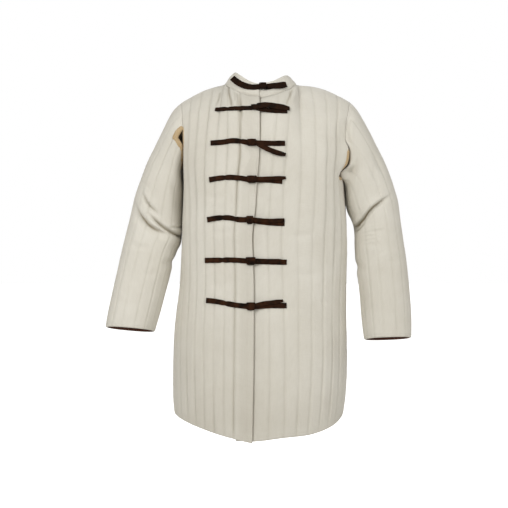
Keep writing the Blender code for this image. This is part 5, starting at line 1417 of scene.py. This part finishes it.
def fineSleeve(side, sleeve, seed):
    # A sleeve's fine wall, closed round its ring of channels.
    q, f = quilting, sleeveForm
    channels = sleeve["grid"].shape[1] // 3
    coarse = sleeve["grid"].shape[0] - 1
    rowsAt = np.unique(np.round(np.concatenate([
        np.arange(coarse * f["fine"] + 1) / f["fine"], np.arange(*f["bend"], 0.5 / f["fine"]),
        coarse - np.array(f["edgeRows"])]), 6))
    columnsAt = fineColumns(channels, q["sleeveStep"])[:-1]
    grid = refine(sleeve["grid"], rowsAt, columnsAt, wrap=True)
    normal = unit(refine(sleeve["normal"], rowsAt, columnsAt, wrap=True))
    middle = np.interp(rowsAt, np.arange(coarse + 1), sleeveRings(side)[:, 4])[:, None]
    amount = q["puff"]["sleeve"]
    relief, groove, _, down = puffRelief("sleeve_" + side, grid, columnsAt, seed, amount,
                                         1 if side == "left" else -1)
    cuff = down[-1] - down
    calm = smoothStep(0, q["calm"], down)
    seam = (q["flush"] - 1) * q["puff"]["body"] + amount
    relief = (relief * calm + seam * (1 - calm)) * (0.6 + 0.4 * smoothStep(0, 0.03, cuff))
    slit = armholeForm["slit"][side]
    place = channelPlace(columnsAt)
    isFree = ((place > slit[0][0]) & (place < slit[-1][0]))[None, :]
    edge = np.minimum(cuff, np.where(isFree, down, 1.0))
    flat = grid[..., (0, 2)]
    front, behind = (smoothStep(*f["turn"], sign * (middle - grid[..., 1])) for sign in (1, -1))
    fold, core = foldDepth(flat, sleeveFolds[side])
    onFront, onBack, allRound = (creaseDepth(flat, group) for group in sleeveCreases[side])
    sink = (onFront + fold) * front + onBack * behind + allRound
    middleOf, half, deep = f["dents"][side]
    away = (flat - np.array(middleOf)) / np.array(half)
    sink = sink + (deep * np.exp(-(away ** 2).sum(-1)) * front
                   * smoothStep(*f["dentStart"], down))
    # painted shade: half of it along the stitched lines, full in the bottoms of the elbow folds on
    # the front
    groove = np.minimum(0.5 * groove * calm + core * front, 1)
    outer, inner = wallFaces(grid, normal, relief - amount,
                             -(q["rise"] + q["wall"]) + 0 * relief, edge, sink)
    perChannel = 3 * q["sleeveStep"]
    seams = [(outer[3:-2, column], normal[3:-2, column])
             for column in range(0, channels * perChannel, perChannel)]
    cuffRow = int(np.argmin(np.abs(cuff.mean(axis=1) - q["hemStitch"])))
    ring = np.append(np.arange(outer.shape[1]), 0)
    seams.append((outer[cuffRow, ring], normal[cuffRow, ring]))
    cells = np.ones((len(rowsAt) - 1, grid.shape[1]), bool)
    # facing: cuff rows whose inner face gets the russet painted shade
    return {"outer": outer, "inner": inner, "cells": cells, "groove": groove, "seams": seams,
            "facing": cuff.mean(axis=1) < f["facing"]}


def fineCollar(collar, seed):
    # The collar's fine wall: padded between its seam and rim, with gathers along the seam.
    c, q = collarForm, quilting
    rowsAt = np.unique(np.round(np.concatenate([np.arange(c["rows"] * c["fine"] + 1) / c["fine"],
                                                c["rows"] - np.array(c["edgeRows"])]), 6))
    channels = (collar["grid"].shape[1] - 1) // 3
    columnsAt = fineColumns(channels, q["perStep"])
    grid = refine(collar["grid"], rowsAt, columnsAt)
    normal = unit(refine(collar["normal"], rowsAt, columnsAt))
    across, down = arcs(grid, 1), arcs(grid, 0)
    rim, ends = down[-1] - down, np.minimum(across, across[:, -1:] - across)
    level = rowsAt[:, None] / c["rows"]
    depth = np.interp(level, (0, 0.25, 0.7, 1), [c[key] for key in (
        "seamDepth", "middleDepth", "middleDepth", "rimDepth")])
    gather, slow = (height * softNoise(across / wide, down / long, seed + step)
                    for step, (height, wide, long) in enumerate((c["gather"], c["slow"])))
    relief = (gather * (1 - 0.6 * level) + slow) * smoothStep(0, 0.006, down) - depth
    sink = creaseDepth(grid[..., (0, 2)], creases["collar"]) * (normal[..., 1] < 0)
    inside = c["thin"] * smoothStep(0.15, 1.0, level) - (q["rise"] + q["wall"])
    outer, inner = wallFaces(grid, normal, relief, inside + 0 * relief,
                             np.minimum(rim, ends), sink)
    # painted shade along the seam at the collar's foot
    groove = bump(down, 0.12, 0.003)
    seams = []
    for distance, place in ((rim, c["rimStitch"]), (down, c["seamStitch"])):
        row = int(np.argmin(np.abs(distance.mean(axis=1) - place)))
        seams.append((outer[row, 2:-2], normal[row, 2:-2]))
    cells = np.ones((len(rowsAt) - 1, len(columnsAt) - 1), bool)
    return {"outer": outer, "inner": inner, "cells": cells, "groove": groove, "seams": seams}


stitchForm = {
    # pitch; length, width and height of a stitch; how far it lies above the cloth
    "canvas": (0.0046, (0.0033, 0.0008, 0.0006), 0.00025),
    "strap": (0.0024, (0.0017, 0.0006, 0.0005), 0.00025),
}


def stitchPiece(name, seams, material, kind="canvas"):
    # Stitches as small pointed prisms: evenly spaced along each seam by its arc length.
    pitch, size, lift = stitchForm[kind]
    centres, tangents, ups = [], [], []
    for points, normal in seams:
        arc = arcs(points, 0)
        if arc[-1] < 2 * pitch:
            continue
        at = np.arange(pitch / 2, arc[-1], pitch)
        pick = lambda values, place: np.stack([np.interp(place, arc, column)
                                               for column in values.T], 1)
        centres.append(pick(points, at))
        tangents.append(pick(points, at + size[0] / 2) - pick(points, at - size[0] / 2))
        ups.append(pick(normal, at))
    centre, along = np.concatenate(centres), unit(np.concatenate(tangents))
    up = unit(np.concatenate(ups))
    side = unit(np.cross(along, up))
    up = np.cross(side, along)
    centre = centre + up * lift
    a, b, c = along * size[0] / 2, side * size[1] / 2, up * size[2] / 2
    points = np.stack([centre + a - c * 0.5, centre - a - c * 0.5, centre + b, centre + c,
                       centre - b, centre - c], axis=1).reshape(-1, 3)
    shape = np.array([(0, 2, 3), (0, 3, 4), (0, 4, 5), (0, 5, 2),
                      (1, 3, 2), (1, 4, 3), (1, 5, 4), (1, 2, 5)])
    faces = (np.arange(len(centre)) * 6)[:, None, None] + shape
    return addPiece(name, points, faces.reshape(-1, 3), [material])


def tubeArrays(rings):
    # Points and quads of a closed tube: M rings of K points with both ends capped by quads.
    count, sides = rings.shape[:2]
    start = (np.arange(count - 1) * sides)[:, None] + np.arange(sides)
    nextSide = (np.arange(count - 1) * sides)[:, None] + (np.arange(sides) + 1) % sides
    faces = np.stack([start, nextSide, nextSide + sides, start + sides], -1).reshape(-1, 4)
    j = np.arange(sides // 2 - 1)
    cap = np.stack([sides - 1 - j, sides - 2 - j, j + 1, j], -1)
    faces = np.concatenate([faces, cap, cap[:, ::-1] + (count - 1) * sides])
    along = arcs(rings.mean(1), 0)
    around = np.linspace(0, 1, sides, endpoint=False) * 0.03
    uv = np.stack(np.broadcast_arrays(around[None, :], along[:, None]), -1).reshape(-1, 2)
    return rings.reshape(-1, 3), faces, uv[faces]


def tubePiece(name, ringSets, material):
    # One mesh from several closed tubes.
    parts = [tubeArrays(rings) for rings in ringSets]
    shift = np.concatenate([[0], np.cumsum([len(points) for points, _, _ in parts])[:-1]])
    fixed = []
    for (points, faces, uv), offset in zip(parts, shift):
        tri = np.concatenate([faces[:, (0, 1, 2)], faces[:, (0, 2, 3)]])
        inward = np.sum(points[tri[:, 0]] * np.cross(points[tri[:, 1]], points[tri[:, 2]])) < 0
        fixed.append((faces[:, ::-1] + offset, uv[:, ::-1]) if inward else (faces + offset, uv))
    points = np.concatenate([points for points, _, _ in parts])
    return addPiece(name, points, np.concatenate([f for f, _ in fixed]), [material],
                    np.concatenate([u for _, u in fixed]))


tieForm = {
    "width": 0.014, "tailWidth": 0.0112, "thickness": 0.0024, "clearance": 0.0004,
    "tailTip": 0.35, "curl": 0.00035, "rings": 46,
    "wave": (0.055, 0.009), "lift": (0.0004, 0.012),    # of the cut edge and of the strap: size
    "pinch": (0.2, 0.0012, 0.0045),    # where it is caught down: narrowing, depth, width
    # how the strap follows the cloth: half its reach up and sideways, share of the lowest place
    "reach": (0.007, 0.006), "taut": 0.55,
    "knot": {"thick": 0.0098, "turns": 2.4, "bandThick": 0.0023, "bandWidth": 0.47,
             "spread": 0.6, "lean": 0.1, "core": 0.94, "steps": 90},
    # places along the straps in mm, from each sewn end toward the knot, the tail's to its tip
    "list": (
        {"right": ((-75.2, 12), (-60, -3.6), (-40, -15), (-21.8, -19.3)), "knot": (6.5, -18.1),
         "size": (18.5, 22.5), "stand": 0, "left": ((42.4, -14), (70.5, -8.5)),
         "tail": ((42.3, -18.9), (67.3, -15.7)), "pinch": (), "width": 17},
        {"right": ((-120.1, -81.4), (-85.2, -81.9), (-53.4, -81.7)), "knot": (-15.2, -81),
         "size": (19, 18.5), "stand": 4, "left": ((25.5, -88.3), (70.4, -89)),
         "tail": ((9.9, -76.8), (30.9, -77.8), (54.7, -80.6), (76.4, -83.2)), "pinch": (-88,),
         "tailWidth": 19},
        {"right": ((-130.4, -173.7), (-100.2, -172.5), (-73.9, -169.5), (-55.6, -170.1)),
         "knot": (-22.7, -175), "size": (23, 20.5), "stand": 2,
         "left": ((25.1, -177.3), (64.3, -176.7)),
         "tail": ((9.5, -188.1), (30.3, -197.7), (48.6, -203.7), (65, -206.9)), "pinch": (-52,),
         "tailWidth": 13.5},
        {"right": ((-133.5, -270.7), (-107.8, -267.2), (-81.6, -265.5), (-58.1, -266.8)),
         "knot": (-21.2, -271.3), "size": (26, 21.2), "stand": 2,
         "left": ((25.1, -273.3), (57.1, -276.2)), "tail": ((25.1, -269.1), (65.7, -266.8)),
         "pinch": (-92,)},
        {"right": ((-139.1, -375.4), (-110.5, -371), (-81.6, -370.7), (-58.1, -375.1)),
         "knot": (-27.4, -376.2), "size": (18.5, 23), "stand": 2,
         "left": ((14.7, -382.9), (40.7, -384.9), (63.1, -385.4)),
         "tail": ((14.7, -378.2), (40.7, -378.2), (62.6, -375.5)), "pinch": (-66, -98)},
        {"right": ((-145.2, -481.8), (-110.6, -481.2), (-73.8, -480.6)), "knot": (-24.8, -483.2),
         "size": (25, 22.5), "stand": 2, "left": ((25.1, -485.3), (68.9, -486.4)),
         "tail": ((25.1, -483.2), (63.2, -483)), "pinch": (-99,)},
        {"right": ((-141.9, -586.7), (-115.8, -588.8), (-89.5, -593.7), (-63.3, -598.2)),
         "knot": (-24.8, -601.2), "size": (22.5, 22.5), "stand": 2,
         "left": ((19.9, -599.6), (68.3, -599.3)),
         "tail": ((9.5, -593.4), (32.9, -590.8), (58.4, -586.7)), "pinch": (-91,)},
    ),
}


def smoothAlong(values, rounds):
    # Repeated 1-2-1 mean along the first axis, the ends kept.
    for _ in range(rounds):
        inner = 0.25 * values[:-2] + 0.5 * values[1:-1] + 0.25 * values[2:]
        values = np.concatenate([values[:1], inner, values[-1:]])
    return values


def strapTrack(surfaces, line, count, lift, stand=0.0):
    # Places on the cloth along a smooth line, lifted off it; returns centre and outward.
    up, sideways = tieForm["reach"]
    taut = tieForm["taut"]
    places = np.array(line, float)
    along = arcs(places, 0)
    track = curveThrough(np.column_stack([along / along[-1], places]), np.linspace(0, 1, count))
    x, z = track[:, :1], track[:, 1:]
    levels = surfaceDepth(surfaces, x + np.zeros(3), z + np.array([-up, 0, up]))
    near = surfaceDepth(surfaces, x + np.array([-sideways, sideways]), z + np.zeros(2))
    levels = np.where(levels > 1, np.where(levels > 1, 1e3, levels).min(), levels)
    slopeZ = smoothAlong((levels[:, 2] - levels[:, 0]) / (2 * up), 6)
    slopeX = smoothAlong(np.clip((near[:, 1] - near[:, 0]) / (2 * sideways), -0.8, 0.8), 8)
    y = np.minimum(levels[:, 1], (levels[:, 0] + levels[:, 2]) / 2)
    low = np.min([np.roll(np.pad(y, 3, mode="edge"), k)[3:-3] for k in range(-3, 4)], axis=0)
    y = smoothAlong(taut * low + (1 - taut) * y, 6)
    normal = unit(np.stack([slopeX, -np.ones(count), slopeZ], axis=-1))
    lift = lift + stand * (1 - np.linspace(0, 1, count))
    return np.stack([x[:, 0], y, z[:, 0]], -1) + normal * lift[:, None], normal


def bandRings(centre, normal, width, thickness, curl, sides=16):
    # Cross-sections of a soft strap: a superellipse with thin round edges that curl to the cloth.
    tangent = unit(np.gradient(centre, axis=0))
    across = unit(np.cross(normal, tangent))
    out = unit(np.cross(tangent, across))
    turn = sectionTurn(sides)
    a, b = bent(np.cos(turn), 0.4), bent(np.sin(turn), 0.75)
    width, thickness = width[:, None, None], thickness[:, None, None]
    return (centre[:, None] + across[:, None] * a[:, None] * width / 2
            + out[:, None] * ((b[:, None] + 1) * thickness / 2 - curl * a[:, None] ** 2))


def strapRings(surfaces, line, width, lift, seed, stand, pinch, tip):
    # A strap with a slightly wavy cut edge, pinched where it is caught down, tapered to its tip.
    f = tieForm
    count = f["rings"]
    centre, normal = strapTrack(surfaces, line, count, lift, stand)
    along = arcs(centre, 0)
    share, size = f["wave"]
    wide = width * (1 + share * softNoise(along / size, np.full(count, 3.5), seed))
    narrow, deep, reach = f["pinch"]
    for place in pinch:
        near = bump(centre[:, 0] - place, 1.0, reach)
        wide = wide * (1 - narrow * near)
        centre = centre - normal * (deep * near)[:, None]
    if tip:
        wide = wide * (1 - tip * smoothStep(along[-1] - 0.018, along[-1], along))
    ends = np.minimum(along, along[-1] - along)
    thick = f["thickness"] * (0.55 + 0.45 * smoothStep(0, 0.0012, ends))
    height, size = f["lift"]
    rise = height * softNoise(along / size, np.full(count, 8.5), seed + 1)
    return bandRings(centre + normal * rise[:, None], normal, wide, thick, f["curl"])


def endStitches(rings):
    # A box of stitches on a strap's sewn end: two lines along its outer face, two across.
    start, end = 1, 5
    out = unit(rings[:, 3] + rings[:, 4] - 2 * rings.mean(axis=1))
    lines = [(rings[start:end + 1, k], out[start:end + 1]) for k in (2, 5)]
    return lines + [(rings[row, 2:6], np.repeat(out[row:row + 1], 4, axis=0))
                    for row in (start, end)]


def knotRings(surfaces, knot, size, seed):
    # A core and a band wound round it: position = middle + side * (t - 0.5) * L
    # + up * cos(turn) * R + out * (sin(turn) * r + r), with turn = 2 pi * turns * t.
    f = tieForm["knot"]
    (x, z), (length, height) = knot, size
    reach = length / 2
    centre, normal = strapTrack(surfaces, ((x - reach, z), (x, z), (x + reach, z)), 9,
                                tieForm["clearance"])
    out = unit(normal.mean(0))
    foremost = (centre @ out).max()
    middle = centre[4] + out * (foremost - centre[4] @ out)
    side = unit(centre[-1] - centre[0] - out * ((centre[-1] - centre[0]) @ out))
    up = unit(np.cross(side, out))
    thick, bandThick, count = f["thick"], f["bandThick"], f["steps"]
    t = np.linspace(0, 1, count)
    turn = 2 * np.pi * (f["turns"] * t + 0.3)
    tuck = smoothStep(0, 0.1, t) * (1 - smoothStep(0.9, 1, t))
    size = 0.7 + 0.3 * tuck
    tall, deep = height / 2 - bandThick * 0.8, thick / 2 - bandThick * 0.5
    lean = f["lean"] * length * np.sin(turn)
    path = (middle + side * ((t - 0.5) * length * f["spread"] + lean)[:, None]
            + up * (np.cos(turn) * tall * size)[:, None]
            + out * (np.sin(turn) * deep * size + thick / 2)[:, None])
    radial = unit(up * (np.cos(turn) / tall)[:, None] + out * (np.sin(turn) / deep)[:, None])
    width = length * f["bandWidth"] * (1 + 0.06 * softNoise(t * 9, np.full(count, 2.5), seed))
    angle = sectionTurn(14)
    a, b = bent(np.cos(angle), 0.5), bent(np.sin(angle), 0.8)
    wrap = (path[:, None] + side * a[:, None] * width[:, None, None] / 2
            + radial[:, None] * b[:, None] * bandThick / 2)
    share = np.linspace(0, 1, 15)
    body = np.sqrt(1 - np.clip(np.abs(2 * share - 1), 0, 0.985) ** 3)[:, None, None]
    ring = sectionTurn(18)[None, :, None]
    core = (middle + side * ((share - 0.5) * length * f["core"])[:, None, None]
            + up * (np.cos(ring) * (tall - 0.0006)) * body
            + out * (np.sin(ring) * (deep - 0.0004) * body + thick / 2))
    return [wrap, core]


def boundEdge(edge, inside, walls, shape):
    # A fold of tape over a cut edge: an oval beaded by its gathers, carried along the edge.
    depth, halfAcross, halfAlong, setback = shape
    points, inward = edge - walls * depth, inside - edge
    tangent = unit(np.gradient(points, axis=0))
    square = unit(np.cross(tangent, walls))
    square = square * np.sign((square * inward).sum(-1, keepdims=True))
    square, walls = unit(smoothAlong(square, 2)), unit(smoothAlong(walls, 2))
    points = points + square * setback
    at = np.linspace(0, len(points) - 1, 6 * len(points))
    weights = lineWeights(len(points), at)
    points, walls = weights @ points, unit(weights @ walls)
    tangent = unit(np.gradient(points, axis=0))
    wide = unit(walls - tangent * (walls * tangent).sum(-1, keepdims=True))
    tall = np.cross(tangent, wide)
    along = arcs(points, 0)
    beads = sum(share * np.sin(2 * np.pi * along / pitch) for share, pitch in armholeForm["beads"])
    turn = sectionTurn(14)
    ends = np.minimum(along, along[-1] - along)
    size = ((1 + beads) * (0.5 + 0.5 * smoothStep(0, 0.004, ends)))[:, None, None]
    rings = (points[:, None] + wide[:, None] * np.cos(turn)[:, None] * halfAcross * size
             + tall[:, None] * np.sin(turn)[:, None] * halfAlong * size)
    return rings, (points + wide * (halfAcross - 0.0002) + tall * 0.0006, wide)


def putOn(piece, node=None):
    # Every piece rides the coat's one body; a finer form takes its frame node's place.
    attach(piece, "root")
    if node:
        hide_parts(node)
    return piece


body = bodyGrids()
sleeves = {}
for side in ("right", "left"):
    grid = sleeveGrid(side)
    normal = gridNormals(grid, np.ones((grid.shape[0] - 1, grid.shape[1]), bool), wrap=True)
    outward = grid - grid.mean(axis=1, keepdims=True)
    sleeves[side] = {"grid": grid, "normal": normal * (-1 if np.sum(normal * outward) < 0 else 1)}
collar = collarGrid(body)
sewTogether(body, sleeves, collar)
print("coarse grids made")

cloth = {}
for number, name in enumerate(("front_right", "front_left", "back")):
    cloth[name] = finePanel(name, body[name], 11 + 10 * number)
for number, side in enumerate(("right", "left")):
    cloth["sleeve_" + side] = fineSleeve(side, sleeves[side], 51 + 10 * number)
cloth["collar"] = fineCollar(collar, 81)
wholeLeft = finePanel("front_left", dict(body["front_left"], grid=body["front_left"]["whole"]), 21)
print("fine walls made")

clothPieces = {}
for name, wall in cloth.items():
    # painted shade: the wall's own shade plus the soft darker patches
    shade = np.minimum(wall["groove"] + shadePatchSum(wall["outer"][..., (0, 2)]), 1)
    piece = shellMesh("quilted_" + name, wall["outer"], wall["inner"], wall["cells"],
                      [canvas, lining, facing], shade, name.startswith("sleeve"),
                      wall.get("facing"))
    stitches = stitchPiece("stitching_" + name, wall["seams"], creamThread)
    clothPieces[name] = (putOn(piece, name), putOn(stitches))
print("cloth made")

bindingPieces = {}
for side, sleeve in sleeves.items():
    places = ringPlaces()
    chosen = np.where((places > armholeForm["tapeFrom"][side] - 0.01)
                      & (places <= armholeForm["slit"][side][-1][0]))[0]
    half = len(places) // 2
    halves = []
    for face, at in (("front", chosen[chosen <= half]),
                     ("back", len(places) - chosen[chosen > half])):
        panel, *path = armholePath(body, side, face)
        rows, columns, insideRows, insideColumns = (values[at] for values in path)
        halves.append((panel["grid"][rows, columns], panel["grid"][insideRows, insideColumns],
                       panel["normal"][rows, columns]))
    edges = {"armhole": [np.concatenate(parts) for parts in zip(*halves)],
             "sleeve": [sleeve["grid"][0, chosen], sleeve["grid"][1, chosen],
                        sleeve["normal"][0, chosen]]}
    for kind, edge in edges.items():
        shape = armholeForm["tape"][kind, side]
        tube, seam = boundEdge(*edge, shape)
        piece = tubePiece("tape_" + kind + "_" + side, [tube], biasTape)
        putOn(piece, kind + "_binding_" + side)
        stitches = stitchPiece("tapeStitching_" + kind + "_" + side, [seam], creamThread)
        bindingPieces[kind, side] = (piece, putOn(stitches))
print("bound armpits made")

frontSurfaces = [cloth["front_right"]["outer"], wholeLeft["outer"]]
for surface, wall in zip(frontSurfaces, (cloth["front_right"], wholeLeft)):
    start = np.searchsorted(fineRows(), quilting["upperRows"])
    surface[:start, wall["cells"][0].sum() + 1:] = np.nan
# under the collar's straps: the band's own surface, carried on past its seam and rim
plain = collar["plain"]
below, above, sunk = collarForm["beyond"]
tall = np.concatenate([plain[:1] - (plain[1:2] - plain[:1]) * below, plain,
                       plain[-1:] + (plain[-1:] - plain[-2:-1]) * above])
tall = tall - unit((tall - tall.mean(axis=1, keepdims=True)) * (1, 1, 0)) * sunk
collarSurfaces = [tall[:, :body["front_right"]["neck"] + 6], tall[:, -16:]]
endLines = []
for number, tie in enumerate(tieForm["list"], start=1):
    f, tie = tieForm, {key: metres(value) for key, value in tie.items()}
    surfaces = collarSurfaces if number == 1 else frontSurfaces
    (x, z), reach = tie["knot"], tie["size"][0] / 2
    straps = {
        "right": tie["right"] + ((x - reach + 0.003, z),),
        "left": ((x + reach - 0.003, z - 0.001),) + tie["left"],
        "tail": ((x + reach - 0.002, z + 0.001),) + tie["tail"],
    }
    for part, line in straps.items():
        wide, lift, stand, tip = tie.get("width", f["width"]), f["clearance"], 0.0, 0.0
        if part == "tail":
            wide = tie.get("tailWidth", f["tailWidth"])
            lift, stand, tip = lift + (f["thickness"] + 0.0004), tie["stand"], f["tailTip"]
        rings = strapRings(surfaces, line, wide, lift, 100 * number + len(part), stand,
                           tie["pinch"], tip)
        if part != "tail":
            endLines += endStitches(rings if part == "right" else rings[::-1])
        piece = tubePiece("strap_" + str(number) + "_" + part, [rings], suede)
        putOn(piece, "tie_" + str(number) + "_" + part)
    rings = knotRings(surfaces, tie["knot"], tie["size"], 100 * number)
    putOn(tubePiece("knot_" + str(number), rings, suede),
          "tie_" + str(number) + "_knot")
putOn(stitchPiece("strapStitching", endLines, brownThread, "strap"))
print("ties made")

cuts = {
    # piece: width and length of the flat cut in metres, its area in square metres
    "front_right": (0.386, 0.986, 0.257), "front_left": (0.406, 0.992, 0.334),
    "back": (0.788, 0.983, 0.531), "sleeve_right": (0.545, 0.657, 0.25),
    "sleeve_left": (0.617, 0.686, 0.254), "collar": (0.58, 0.051, 0.019),
}
for name, (width, length, area) in cuts.items():
    piece, stitches = clothPieces[name]
    extra = [stitches]
    if name.startswith("sleeve"):
        extra += bindingPieces["sleeve", name[7:]]
    if name.startswith("front"):
        extra += bindingPieces["armhole", name[6:]]
